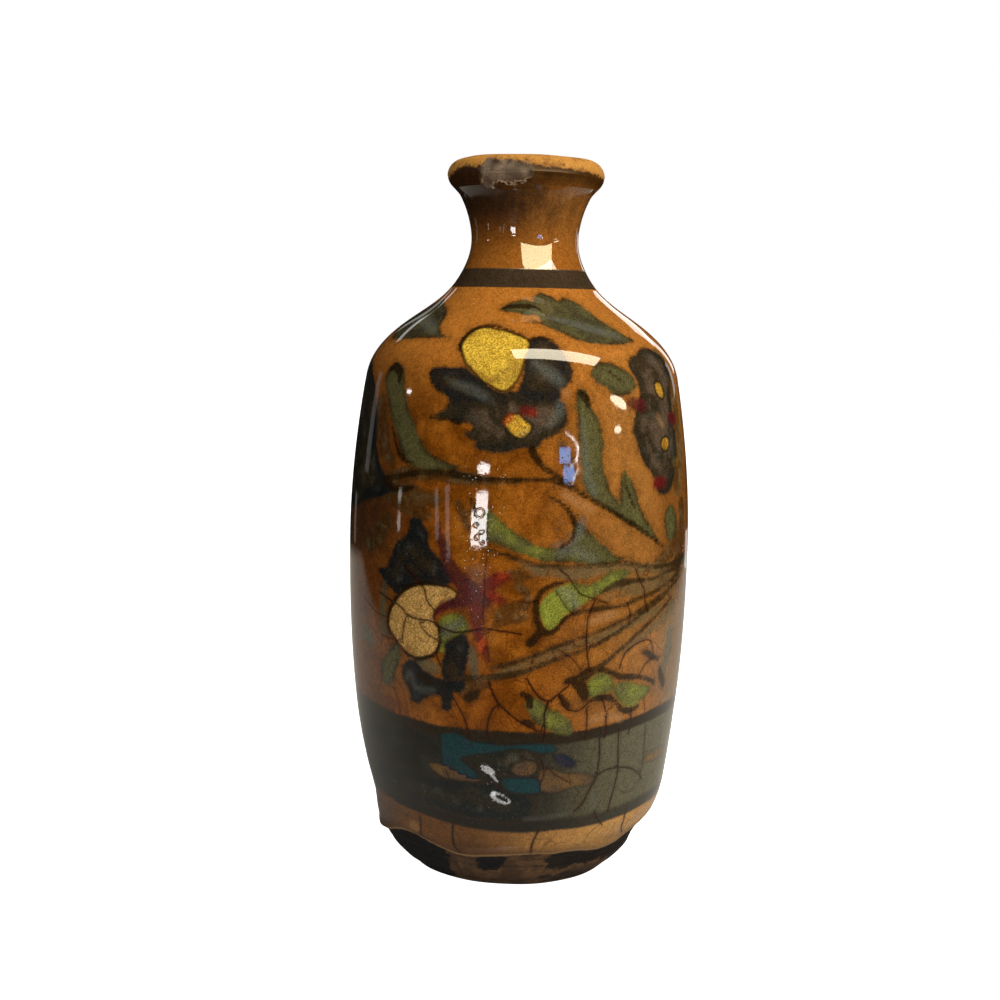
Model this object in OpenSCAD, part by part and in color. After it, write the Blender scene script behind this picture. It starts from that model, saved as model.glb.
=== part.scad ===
// Pottery flask: clay sections thrown on the wheel and luted together with slip,
// coated with a pale slip ground and an amber glaze that stops above the bare foot.
// The origin is on the axis, where the foot ring stands. Lengths are in millimetres.

/* [Foot and floor] */
// Height of the bare foot ring
foot_h = 8.5; // [6:0.5:14]
// How far the foot ring tapers in, from its top to its standing face
foot_taper = 6; // [2:0.5:9]
// Width of the foot ring's standing face
foot_face_w = 7; // [4:0.5:10]
// Rounding of the foot ring's outer standing edge
foot_round = 1.2; // [0.4:0.2:2]
// Depth of the floor's plug inside the foot ring
plug_h = 4; // [2:0.5:5]
// Thickness of the floor slab over the foot ring
floor_t = 6; // [4:0.5:9]
// Height of the bare clay strip between the foot ring and the glaze's lower edge
bare_strip_h = 2; // [1:0.5:4]
// How far the bare strip draws in, from the glaze's lower edge to the foot ring
bare_strip_in = 2.8; // [1:0.1:4]

/* [Body wall] */
// Largest radius of the belly
belly_r = 48.5; // [44:0.1:56]
// Height of the widest belly above the glaze's lower edge
belly_up = 82; // [60:1:100]
// How far the wall draws in, from the belly to the heel
heel_in = 5; // [3:0.1:8]
// Height of the heel, where the wall turns upright, above the glaze's lower edge
heel_up = 17.5; // [12:0.5:24]
// Lean of the wall at the heel, in degrees outwards
heel_lean = 11; // [4:1:18]
// How far the wall draws in, from the heel to the glaze's lower edge
edge_in = 6.2; // [4:0.1:8]
// Lean of the wall at the glaze's lower edge, in degrees outwards
edge_lean = 34; // [20:1:45]
// How far the wall draws in, from the belly to the shoulder joint
shoulder_in = 4.5; // [3:0.1:8]
// Height of the body wall, from the glaze's lower edge to the shoulder joint
wall_h = 130; // [115:1:150]
// Lean of the wall at the shoulder joint, in degrees inwards
shoulder_lean = 10; // [4:1:18]
// Clay thickness of the body wall and the shoulder
wall_t = 5; // [3:0.5:7]

/* [Shoulder] */
// Height of the shoulder, from its joint to the collar
shoulder_h = 26; // [20:1:34]
// How far the shoulder draws in, from its joint to the middle of its slope
slope_in = 11.8; // [9:0.1:14]
// Height of the middle of the slope above the shoulder joint
slope_up = 14.8; // [11:0.1:18]
// Lean of the slope, in degrees inwards
slope_lean = 55; // [45:1:62]
// How far the collar, where the neck is luted on, stands out from the neck's waist
collar_out = 4; // [3:0.1:6]
// Lean of the collar, in degrees inwards
collar_lean = 32; // [24:1:42]

/* [Neck and mouth] */
// Diameter of the straight bore that takes a cork
bore_d = 20; // [16:0.5:24]
// Length of the straight bore
bore_l = 12; // [8:0.5:14]
// Clay thickness of the neck at its waist
neck_t = 3.4; // [2.4:0.1:5]
// Height of the waist above the collar
waist_up = 11; // [9:0.5:13]
// Height of the neck, from the collar to the lip joint
neck_h = 23; // [21:0.5:28]
// How far the neck flares out, from its waist to the lip joint
flare_out = 3.2; // [2:0.1:5]
// Lean of the neck at the lip joint, in degrees outwards
flare_lean = 26; // [16:1:34]

/* [Lip] */
// How far the lip stands out from the lip joint
lip_out = 4.2; // [3:0.1:6]
// Height of the lip's widest point above the lip joint
lip_up = 6; // [5:0.5:8]
// Lean at the lip's widest point, in degrees outwards
lip_lean = 6; // [0:1:12]
// Height of the rounded rim above the lip's widest point
rim_h = 4.5; // [3:0.5:6]
// Distance from the lip's widest point in to the rim's crest
rim_out = 4.6; // [3:0.1:5.5]
// Distance from the rim's crest in to the mouth's edge
rim_in = 2.6; // [1.5:0.1:3.5]
// Clay thickness of the lip at its joint
lip_t = 4.2; // [3:0.1:5.5]

/* [Coats and joints] */
// Thickness of the outer glaze
glaze_t = 0.8; // [0.4:0.1:1.4]
// Thickness of the slip ground under the glaze
slip_t = 0.3; // [0.2:0.1:0.5]
// Thickness of the inner glaze
liner_t = 0.4; // [0.2:0.1:0.8]
// Share of the coats' thickness that is left at the wiped lip
lip_coat_share = 0.3; // [0.2:0.05:0.5]
// Thickness of the slip in each luted joint
lute_t = 0.6; // [0.3:0.1:1]

/* [Hidden] */

// Facets round the axis, which set only how the preview looks
$fn = 96;
// Steps along one curve of the profile
curve_steps = 10;

// Colours of the clay sections and of the slip between them
clay_color = "#b5803f";
luting_color = "#8a6a4a";

// Radii of the finished surface: the foot, wall and shoulder follow the belly, the neck and lip the bore
coat_t = glaze_t + slip_t;
heel_r = belly_r - heel_in;
edge_r = heel_r - edge_in;
foot_top_r = edge_r - bare_strip_in;
foot_r = foot_top_r - foot_taper;
shoulder_r = belly_r - shoulder_in;
slope_r = shoulder_r - slope_in;
clay_bore_r = bore_d / 2 + liner_t;
waist_r = clay_bore_r + neck_t + coat_t;
collar_r = waist_r + collar_out;
flare_r = waist_r + flare_out;
lip_r = flare_r + lip_out;

// Heights, each stacked on the one below
plug_z = foot_h - plug_h;
floor_top_z = foot_h + floor_t;
edge_z = foot_h + bare_strip_h;
heel_z = edge_z + heel_up;
belly_z = edge_z + belly_up;
shoulder_z = edge_z + wall_h;
slope_z = shoulder_z + slope_up;
collar_z = shoulder_z + shoulder_h;
waist_z = collar_z + waist_up;
flare_z = collar_z + neck_h;
lip_z = flare_z + lip_up;
top_z = lip_z + rim_h;

// Knots of the finished profile: radius, height and lean outwards
edge_knot = [edge_r, edge_z, edge_lean];
heel_knot = [heel_r, heel_z, heel_lean];
belly_knot = [belly_r, belly_z, 0];
shoulder_knot = [shoulder_r, shoulder_z, -shoulder_lean];
slope_knot = [slope_r, slope_z, -slope_lean];
collar_knot = [collar_r, collar_z, -collar_lean];
waist_knot = [waist_r, waist_z, 0];
flare_knot = [flare_r, flare_z, flare_lean];
lip_knot = [lip_r, lip_z, lip_lean];

// Direction of travel up a wall that leans outwards by the given angle
function heading(lean) = [sin(lean), cos(lean)];

// One point of the curve between two knots, with the curve's own lean there
function station(from, to, t) =
    let (p = [from[0], from[1]], q = [to[0], to[1]])
    let (reach = norm(q - p) / 3)
    let (a = p + reach * heading(from[2]), b = q - reach * heading(to[2]))
    let (point = pow(1 - t, 3) * p + 3 * t * pow(1 - t, 2) * a + 3 * t * t * (1 - t) * b + pow(t, 3) * q)
    let (way = pow(1 - t, 2) * (a - p) + 2 * t * (1 - t) * (b - a) + t * t * (q - b))
    [point[0], point[1], atan2(way[0], way[1])];

// The curve between two knots, without its first point
function run(from, to) = [for (i = [1 : curve_steps]) station(from, to, i / curve_steps)];

// A station moved into the wall by a depth, square to the surface
function sunk(s, depth) = [s[0] - depth * cos(s[2]), s[1] + depth * sin(s[2])];

// A whole row of stations moved into the wall
function rail(row, depth) = [for (s = row) sunk(s, depth)];

// The point a distance along the line from p towards q
function along(p, q, distance) = p + (q - p) * distance / norm(q - p);

function without_first(row) = [for (i = [1 : len(row) - 1]) row[i]];

// A row whose first point is moved a distance towards its second
function trimmed(row, distance) = concat([along(row[0], row[1], distance)], without_first(row));

function reversed(row) = [for (i = [len(row) - 1 : -1 : 0]) row[i]];

function last(row) = row[len(row) - 1];

// Stations of the finished surface, section by section, each with both its ends
wall_row = concat([edge_knot], run(edge_knot, heel_knot), run(heel_knot, belly_knot),
                  run(belly_knot, shoulder_knot));
shoulder_row = concat([shoulder_knot], run(shoulder_knot, slope_knot), run(slope_knot, collar_knot));
neck_row = concat([collar_knot], run(collar_knot, waist_knot), run(waist_knot, flare_knot));
flare_row = concat([flare_knot], run(flare_knot, lip_knot));

// How much of the coats is left along the lip, where the maker wiped them back
lip_coat_shares = [for (i = [0 : len(flare_row) - 1]) 1 - (1 - lip_coat_share) * i / (len(flare_row) - 1)];

// The finished surface from the foot to the lip, moved in by a depth that thins out at the lip
function coat_rail(depth) = concat(
    rail(wall_row, depth), rail(without_first(shoulder_row), depth), rail(without_first(neck_row), depth),
    [for (i = [1 : len(flare_row) - 1]) sunk(flare_row[i], depth * lip_coat_shares[i])]);

// The outsides of the clay sections
wall_outside = rail(wall_row, coat_t);
shoulder_outside = rail(shoulder_row, coat_t);
neck_outside = rail(neck_row, coat_t);
flare_outside = [for (i = [0 : len(flare_row) - 1]) sunk(flare_row[i], coat_t * lip_coat_shares[i])];

// The bare rim: from the clay's widest point over the crest to the mouth's edge
rim_start = last(flare_outside);
crest_r = lip_r - rim_out;
mouth_r = crest_r - rim_in;
mouth_z = top_z - rim_in;
rim_row = [for (i = [1 : curve_steps]) let (a = 90 * i / curve_steps)
    [crest_r + (rim_start[0] - crest_r) * cos(a), rim_start[1] + (top_z - rim_start[1]) * sin(a)]];
brim_row = [for (i = [1 : curve_steps - 1]) let (a = 90 * i / curve_steps)
    [crest_r - rim_in * sin(a), mouth_z + rim_in * cos(a)]];

// The insides of the clay sections, at a depth under the clay's own inner face
function wall_inside(depth) = let (row = rail(wall_row, coat_t + wall_t + depth), z = floor_top_z + depth)
    concat([[lookup(z, [for (p = row) [p[1], p[0]]]), z]], [for (p = row) if (p[1] > z + lute_t) p]);
function shoulder_inside(depth) = rail(shoulder_row, coat_t + wall_t + depth);

bore_top_z = waist_z + bore_l / 2;
bore_low_z = waist_z - bore_l / 2;
function neck_inside(depth) =
    let (low = concat(sunk(collar_knot, coat_t + wall_t + depth), -collar_lean))
    let (high = concat(sunk(flare_knot, coat_t + lip_t + depth), flare_lean))
    let (r = clay_bore_r - depth)
    concat([[low[0], low[1]]],
           [for (s = run(low, [r, bore_low_z, 0])) [s[0], s[1]]],
           [for (s = concat([[r, bore_top_z, 0]], run([r, bore_top_z, 0], high))) [s[0], s[1]]]);
function lip_inside(depth) =
    let (low = concat(sunk(flare_knot, coat_t + lip_t + depth), flare_lean))
    let (high = [mouth_r - depth, mouth_z, 0])
    concat([[low[0], low[1]]], [for (s = run(low, high)) [s[0], s[1]]]);

// The whole inside, from the floor's middle to the mouth's edge
function liner_rail(depth) = concat(
    [[0, floor_top_z + depth]], wall_inside(depth), without_first(shoulder_inside(depth)),
    without_first(neck_inside(depth)), without_first(lip_inside(depth)));

// A turned solid from its half section
module turned(section) {
    rotate_extrude() polygon(section);
}

// A clay section between an outside and an inside row, its lower end trimmed back for the luting slip
module clay_section(outside, inside) {
    turned(concat(trimmed(outside, lute_t), reversed(trimmed(inside, lute_t))));
}

// The slip that fills the joint under a clay section
module luting(outside, inside) {
    turned([outside[0], along(outside[0], outside[1], lute_t),
            along(inside[0], inside[1], lute_t), inside[0]]);
}

foot_inner_r = foot_r - foot_face_w;
ring_top_z = foot_h - lute_t;
ring_top_r = lookup(ring_top_z, [[foot_round, foot_r], [foot_h, foot_top_r]]);
floor_edge = wall_outside[0];
floor_rim = along(floor_edge, [foot_top_r, foot_h], lute_t);
floor_end = wall_inside(0)[0];

// Bare ring turned under the floor, standing on a flat face with a worn outer edge
module foot_ring() {
    worn_edge = [for (i = [0 : curve_steps]) let (a = 90 * i / curve_steps)
        [foot_r - foot_round + foot_round * sin(a), foot_round - foot_round * cos(a)]];
    color("#3a2a20")
        turned(concat([[foot_inner_r, 0]], worn_edge, [[ring_top_r, ring_top_z], [foot_inner_r, ring_top_z]]));
}

module foot_luting_slip() {
    color(luting_color)
        turned([[foot_inner_r, ring_top_z], [ring_top_r, ring_top_z],
                [foot_top_r, foot_h], [foot_inner_r, foot_h]]);
}

// Floor disc with a plug that drops into the foot ring
module floor_slab() {
    color("#a97a4c")
        turned([[0, plug_z], [foot_inner_r, plug_z], [foot_inner_r, foot_h], [foot_top_r, foot_h],
                floor_rim, [floor_end[0] - lute_t, floor_top_z], [0, floor_top_z]]);
}

module floor_luting_slip() {
    color(luting_color)
        turned([floor_rim, floor_edge, floor_end, [floor_end[0] - lute_t, floor_top_z]]);
}

module body_wall() {
    color(clay_color) turned(concat(wall_outside, reversed(wall_inside(0))));
}

module shoulder_luting_slip() {
    color(luting_color) luting(shoulder_outside, shoulder_inside(0));
}

module shoulder() {
    color(clay_color) clay_section(shoulder_outside, shoulder_inside(0));
}

module neck_luting_slip() {
    color(luting_color) luting(neck_outside, neck_inside(0));
}

module neck() {
    color(clay_color) clay_section(neck_outside, neck_inside(0));
}

module lip_luting_slip() {
    color(luting_color) luting(flare_outside, lip_inside(0));
}

// Everted lip with a rounded, wiped rim
module lip_ring() {
    color("#c98f4e")
        clay_section(concat(flare_outside, rim_row, brim_row), lip_inside(0));
}

// Pale slip that carries the painted bands and flowers
module slip_ground() {
    color("#d9b98a") turned(concat(coat_rail(glaze_t), reversed(coat_rail(coat_t))));
}

// Amber glaze over the painting, from above the foot to the lip
module outer_glaze() {
    color("#a8601c") turned(concat(coat_rail(0), reversed(coat_rail(glaze_t))));
}

// Glaze poured round the inside, from the floor to the mouth
module inner_glaze() {
    color("#8c5a24") turned(concat(liner_rail(0), reversed(liner_rail(liner_t))));
}

foot_ring();
foot_luting_slip();
floor_slab();
floor_luting_slip();
body_wall();
shoulder_luting_slip();
shoulder();
neck_luting_slip();
neck();
lip_luting_slip();
lip_ring();
slip_ground();
outer_glaze();
inner_glaze();
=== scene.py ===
import math

import bpy
import numpy as np
from mathutils import Matrix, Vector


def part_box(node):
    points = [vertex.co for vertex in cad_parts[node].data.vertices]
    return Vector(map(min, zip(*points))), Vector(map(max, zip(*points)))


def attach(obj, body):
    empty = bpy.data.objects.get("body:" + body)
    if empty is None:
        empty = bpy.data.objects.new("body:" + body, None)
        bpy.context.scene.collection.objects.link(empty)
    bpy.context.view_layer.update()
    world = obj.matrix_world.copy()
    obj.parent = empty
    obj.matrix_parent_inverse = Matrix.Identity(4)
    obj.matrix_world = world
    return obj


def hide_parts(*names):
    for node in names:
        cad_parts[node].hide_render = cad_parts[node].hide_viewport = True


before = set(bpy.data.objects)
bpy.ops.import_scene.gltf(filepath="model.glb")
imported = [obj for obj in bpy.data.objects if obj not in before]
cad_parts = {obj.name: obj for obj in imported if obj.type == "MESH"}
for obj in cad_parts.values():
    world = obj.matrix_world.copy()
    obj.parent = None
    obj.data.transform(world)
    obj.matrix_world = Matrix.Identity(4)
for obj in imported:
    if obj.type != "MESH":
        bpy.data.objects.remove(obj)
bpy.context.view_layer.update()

# Foot ring
# A ring of the same clay as the walls, turned under the floor, wiped clean of glaze and blackened by use.
# It was luted on by hand, so it sits a little off the flask's axis and its edge is worn uneven.

MM = 0.001
WHEEL_STEPS = 360
# Points of a turned mesh that lie this close are one.
WELD = 0.01 * MM
# A solid's corners are rounded to this grid in millimetres, and two that lie this close are one corner.
CORNER_GRID = 0.005
SAME_CORNER = 0.02 * MM


def places_of(piece):
    """Where each point of a piece lies, one row for each."""
    places = np.empty(len(piece.data.vertices) * 3)
    piece.data.vertices.foreach_get("co", places)
    return places.reshape(-1, 3)


def from_axis(places):
    """How far each point lies from the flask's axis."""
    return np.hypot(places[:, 0], places[:, 1])


def half_section(node):
    """Radius and height of each corner of a turned node's outline, in order round the outline."""
    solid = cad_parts[node]
    places = places_of(solid)
    flat = np.column_stack((from_axis(places), places[:, 2]))
    rough, kind = np.unique(np.round(flat / (CORNER_GRID * MM)), axis=0, return_inverse=True)
    corners, merged = [], np.empty(len(rough), int)
    for i, place in enumerate(rough * CORNER_GRID * MM):
        near = [k for k, corner in enumerate(corners) if np.abs(corner - place).max() < SAME_CORNER]
        if not near:
            corners.append(place)
        merged[i] = near[0] if near else len(corners) - 1
    owner = merged[kind.ravel()]
    joined = {k: set() for k in range(len(corners))}
    for edge in solid.data.edges:
        a, b = owner[edge.vertices[0]], owner[edge.vertices[1]]
        if a != b:
            joined[a].add(b)
            joined[b].add(a)
    ends = [k for k in joined if len(joined[k]) == 1]
    walk = [min(ends or joined, key=lambda k: corners[k][1])]
    while True:
        onward = [k for k in sorted(joined[walk[-1]], key=lambda k: -corners[k][0]) if k not in walk]
        if not onward:
            return [tuple(corners[k]) for k in walk]
        walk.append(onward[0])


def fine_steps(outline, step):
    """The outline with points added, so that none are further apart than the step."""
    finer = [outline[0]]
    for (r0, z0), (r1, z1) in zip(outline, outline[1:]):
        count = max(1, math.ceil(math.hypot(r1 - r0, z1 - z0) / step))
        finer += [(r0 + (r1 - r0) * i / count, z0 + (z1 - z0) * i / count) for i in range(1, count + 1)]
    return finer


def throw_on_wheel(name, outline):
    """A turned piece: one point is drawn out along the outline, and the line is swept round the axis."""
    bpy.ops.object.select_all(action="DESELECT")
    bpy.ops.mesh.primitive_plane_add(size=MM, location=(outline[0][0], 0, outline[0][1]))
    piece = bpy.context.object
    piece.name = name
    bpy.ops.object.transform_apply(location=True, rotation=True, scale=True)
    bpy.ops.object.mode_set(mode="EDIT")
    bpy.ops.mesh.select_all(action="SELECT")
    bpy.ops.mesh.merge(type="CENTER")
    for (r0, z0), (r1, z1) in zip(outline, outline[1:]):
        bpy.ops.mesh.extrude_region_move(TRANSFORM_OT_translate={"value": (r1 - r0, 0, z1 - z0)})
    bpy.ops.object.mode_set(mode="OBJECT")
    bpy.ops.object.modifier_add(type="SCREW")
    wheel = piece.modifiers[-1]
    wheel.axis = "Z"
    wheel.steps = WHEEL_STEPS
    wheel.render_steps = WHEEL_STEPS
    wheel.use_merge_vertices = True
    bpy.ops.object.modifier_apply(modifier=wheel.name)
    bpy.ops.object.mode_set(mode="EDIT")
    bpy.ops.mesh.select_all(action="SELECT")
    bpy.ops.mesh.remove_doubles(threshold=WELD)
    bpy.ops.mesh.normals_make_consistent(inside=False)
    bpy.ops.object.mode_set(mode="OBJECT")
    bpy.ops.object.shade_smooth()
    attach(piece, "root")
    return piece


def move_to(piece, places):
    """Puts each point of a piece in its new place."""
    piece.data.vertices.foreach_set("co", places.ravel())
    piece.data.update()


def turn_of(places):
    """Degrees round the axis: 0 faces the front, and the right-hand side is positive."""
    return np.degrees(np.arctan2(places[:, 0], -places[:, 1]))


def ripple(turn, *waves):
    """A wavy line round the axis, as the sum of (height, waves in a turn, start in degrees)."""
    return sum(size * np.sin(np.radians(count * (turn - start))) for size, count, start in waves)


def fade(value, low, high):
    """0 up to low, 1 from high on, and a smooth rise between."""
    t = np.clip((value - low) / (high - low), 0, 1)
    return t * t * (3 - 2 * t)


foot_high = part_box("foot_ring")[1]
floor_low, floor_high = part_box("floor_slab")
# How far the foot leans off the axis, as height, slip to the right and slip to the back in millimetres.
FOOT_SLIP = [(0, -0.7, 0.2), (5, -0.9, 0.2), (9, -1.2, 0.1), (13, -0.9, 0.1), (17, 0.2, 0),
             (20, 0.8, 0), (24, 0.8, 0), (29, 0.5, 0), (36, 0.2, 0), (44, 0, 0)]
# How far hand-wiping rounded the foot out from its turned outline, as height and swell in millimetres.
FOOT_SWELL = [(0, 0.9), (1.5, 1.8), (3.5, 2.6), (6, 2.5), (8.5, 1.5), (10.5, 0.5), (13, 0.1), (17, 0)]
# The joint under the floor was smeared shut on the outside: its height, and how far clay was drawn over it.
FOOT_JOINT = 8.2 * MM
SMEAR = 0.3 * MM
# Wiping and wear reach in from the foot's outside to this share of its radius.
WIPED_IN_TO = 0.55
# Uneven wear round the foot: height, waves in a turn and start in degrees.
FOOT_WEAR = [(0.2 * MM, 2, 40), (0.2 * MM, 5, 10), (0.12 * MM, 11, 70)]
RING_STEP = 0.9 * MM


def wiped_round(places):
    """Metres that hand-wiping swelled the outside of the foot at each point's height."""
    heights, swells = zip(*FOOT_SWELL)
    return np.interp(places[:, 2] / MM, heights, swells) * MM


def slipped(places):
    """Metres that the foot slipped sideways and back at each point's height."""
    heights, sideways, back = zip(*FOOT_SLIP)
    up = places[:, 2] / MM
    return np.interp(up, heights, sideways) * MM, np.interp(up, heights, back) * MM


def off_centre(places, turn):
    """The foot's sideways slip and uneven wear, fading out up the wall."""
    share = 1 - fade(places[:, 2], 0.0, floor_high[2])
    outer = fade(from_axis(places), foot_high[0] * WIPED_IN_TO, foot_high[0])
    wear = ripple(turn, *FOOT_WEAR) * outer
    out = share * wear + wiped_round(places) * outer
    moved = places.copy()
    sideways, back = slipped(places)
    moved[:, 0] += sideways + out * np.sin(np.radians(turn))
    moved[:, 1] += back - out * np.cos(np.radians(turn))
    to_joint = FOOT_JOINT - places[:, 2]
    moved[:, 2] += SMEAR * np.sign(to_joint) * outer * fade(3 * SMEAR - np.abs(to_joint), 0.0, 2 * SMEAR)
    return moved


ring_outline = half_section("foot_ring")
foot_ring = throw_on_wheel("bare_foot_ring", fine_steps(ring_outline + ring_outline[:1], RING_STEP))
spots = places_of(foot_ring)
move_to(foot_ring, off_centre(spots, turn_of(spots)))
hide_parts("foot_ring")


def through(points, closed, run_of, parts=6):
    """A smooth line through given points, as rows of turn, run up the wall and any further numbers."""
    p = np.array(points, float)
    p[:, 1] = run_of(p[:, 1])
    p = np.vstack((p[-1:], p, p[:2])) if closed else np.vstack((p[:1], p, p[-1:]))
    rows = []
    for a, b, c, d in zip(p, p[1:], p[2:], p[3:]):
        for t in np.arange(parts) / parts:
            rows.append(0.5 * (2 * b + (c - a) * t + (2 * a - 5 * b + 4 * c - d) * t * t
                               + (3 * b - a - 3 * c + d) * t ** 3))
    return np.array(rows if closed else rows + [p[-1]])


# Paint is worked out for points within this many millimetres of a line.
PAINT_REACH = 6.0
# A piece of a line shorter than this, squared, counts as a point.
NO_LENGTH = 1e-9


def flattened(points, closed, turn, reach, run, run_of, reach_of):
    """A given line and the points of a piece that lie near it, both unrolled flat in millimetres."""
    line = through(points, closed, run_of)
    middle = line[:, 0].mean()
    x, y = np.radians(line[:, 0] - middle) * reach_of(line[:, 1]), line[:, 1]
    px, py = np.radians((turn - middle + 180) % 360 - 180) * reach, run
    close = np.flatnonzero((px > x.min() - PAINT_REACH) & (px < x.max() + PAINT_REACH)
                           & (py > y.min() - PAINT_REACH) & (py < y.max() + PAINT_REACH))
    return line, x, y, close, px[close], py[close]


def beside(x, y, i, j, px, py):
    """For one short piece of a line: each point's gap from it, how far along it that is, and the side."""
    dx, dy = x[j] - x[i], y[j] - y[i]
    along = np.clip(((px - x[i]) * dx + (py - y[i]) * dy) / max(dx * dx + dy * dy, NO_LENGTH), 0, 1)
    gap = np.hypot(px - x[i] - along * dx, py - y[i] - along * dy)
    return gap, along, (px - x[i]) * dy - (py - y[i]) * dx


def paint_field(shapes, closed, turn, reach, run, run_of, reach_of):
    """For each point of a piece: millimetres to the nearest painted edge, negative inside, and its tone."""
    near = np.full(len(turn), PAINT_REACH)
    tone = np.zeros(len(turn))
    for shade, points in shapes:
        line, x, y, close, px, py = flattened(points, closed, turn, reach, run, run_of, reach_of)
        wide = np.zeros(len(line)) if closed else line[:, 2]
        least = np.full(len(close), np.inf)
        inside = np.zeros(len(close), bool)
        for i in range(len(line) if closed else len(line) - 1):
            j = (i + 1) % len(line)
            gap, along, _ = beside(x, y, i, j, px, py)
            least = np.minimum(least, gap - (wide[i] + (wide[j] - wide[i]) * along))
            if closed and y[i] != y[j]:
                crossing = (y[i] > py) != (y[j] > py)
                inside ^= crossing & (px < x[i] + (py - y[i]) * (x[j] - x[i]) / (y[j] - y[i]))
        signed = np.where(inside, -least, least) if closed else least
        nearer = signed < near[close]
        near[close] = np.where(nearer, signed, near[close])
        tone[close] = np.where(nearer, shade, tone[close])
    return near, tone


def crack_field(cracks, turn, reach, run, run_of, reach_of):
    """For each point: millimetres to the nearest crack, the same signed by its side, and its darkness."""
    near = np.full(len(turn), PAINT_REACH)
    sided = near.copy()
    tone = np.zeros(len(turn))
    for shade, points in cracks:
        line, x, y, close, px, py = flattened(points, False, turn, reach, run, run_of, reach_of)
        for i in range(len(line) - 1):
            gap, _, side = beside(x, y, i, i + 1, px, py)
            nearer = gap < near[close]
            hit = close[nearer]
            near[hit] = gap[nearer]
            sided[hit] = np.copysign(gap, side)[nearer]
            tone[hit] = shade
    return near, sided, tone


# The far side's copy sways as it is drawn: by how many degrees and millimetres, over what length and angle.
SWAY_TURN, SWAY_UP = 2.5, 1.2
SWAY_LENGTH, SWAY_ANGLE = 17, 19


def round_the_back(shapes):
    """The front's shapes and a like set on the far side, turned over and swayed as a second hand would."""
    far = []
    for tone, points in shapes:
        swayed = []
        for turn, up, *wide in points:
            over = 180 - turn + SWAY_TURN * math.sin(up / SWAY_LENGTH)
            swayed.append((over, up + SWAY_UP * math.sin(turn / SWAY_ANGLE), *wide))
        far.append((tone, swayed))
    return shapes + far


def paint_on(piece, name, values):
    """Keeps one number for each point of the piece, for its material to read."""
    layer = piece.data.attributes.new(name, "FLOAT", "POINT")
    layer.data.foreach_set("value", np.asarray(values, np.float32))


# Soot and dirt on the bare clay, in degrees round and millimetres up.
SOOT = [
    (1.0, [(-64, 15), (-52, 15.6), (-43, 16.8), (-32, 16.6), (-25, 14.4), (-25.5, 9), (-31, 3),
           (-44, -2.5), (-62, -2.5), (-76, 2), (-74, 10)]),
    (1.0, [(-13, 12), (-5, 12), (1, 11.6), (-4.6, 7.4), (-12, 7)]),
    (0.9, [(13, 13), (24, 14), (36, 13), (57, 13), (76, 13), (80, 4), (72, 1), (58, 5), (46, 6.4),
           (30, 7), (18, 6.5)]),
    (0.7, [(14, 4.4), (22, 4.6), (34, 4.2), (48, 2.4), (40, 0.6), (24, 1.2)]),
    (0.8, [(88, 12), (100, 14), (112, 9), (120, 3), (104, 1), (92, 4)]),
    (0.8, [(-88, 13), (-100, 12), (-112, 13), (-122, 6), (-108, 1), (-92, 3)]),
]
# The radius at which the soot's shapes are unrolled, in millimetres.
SOOT_RADIUS = 33


def straight_up(height):
    """The run up a piece that is taken as upright, which is the height itself."""
    return height


def soil(piece, places, turn):
    """Paints the soot on a bare piece near the foot."""
    edge, tone = paint_field(round_the_back(SOOT), True, turn, from_axis(places) / MM, places[:, 2] / MM,
                             straight_up, lambda run: SOOT_RADIUS)
    paint_on(piece, "soot_edge", edge)
    paint_on(piece, "soot_tone", tone)


soil(foot_ring, spots, turn_of(spots))


def pigment(code):
    """A colour from its six-figure code, as the shader takes it."""
    parts = [int(code[i:i + 2], 16) / 255 for i in (1, 3, 5)]
    return tuple(p / 12.92 if p <= 0.04045 else ((p + 0.055) / 1.055) ** 2.4 for p in parts) + (1.0,)


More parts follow.
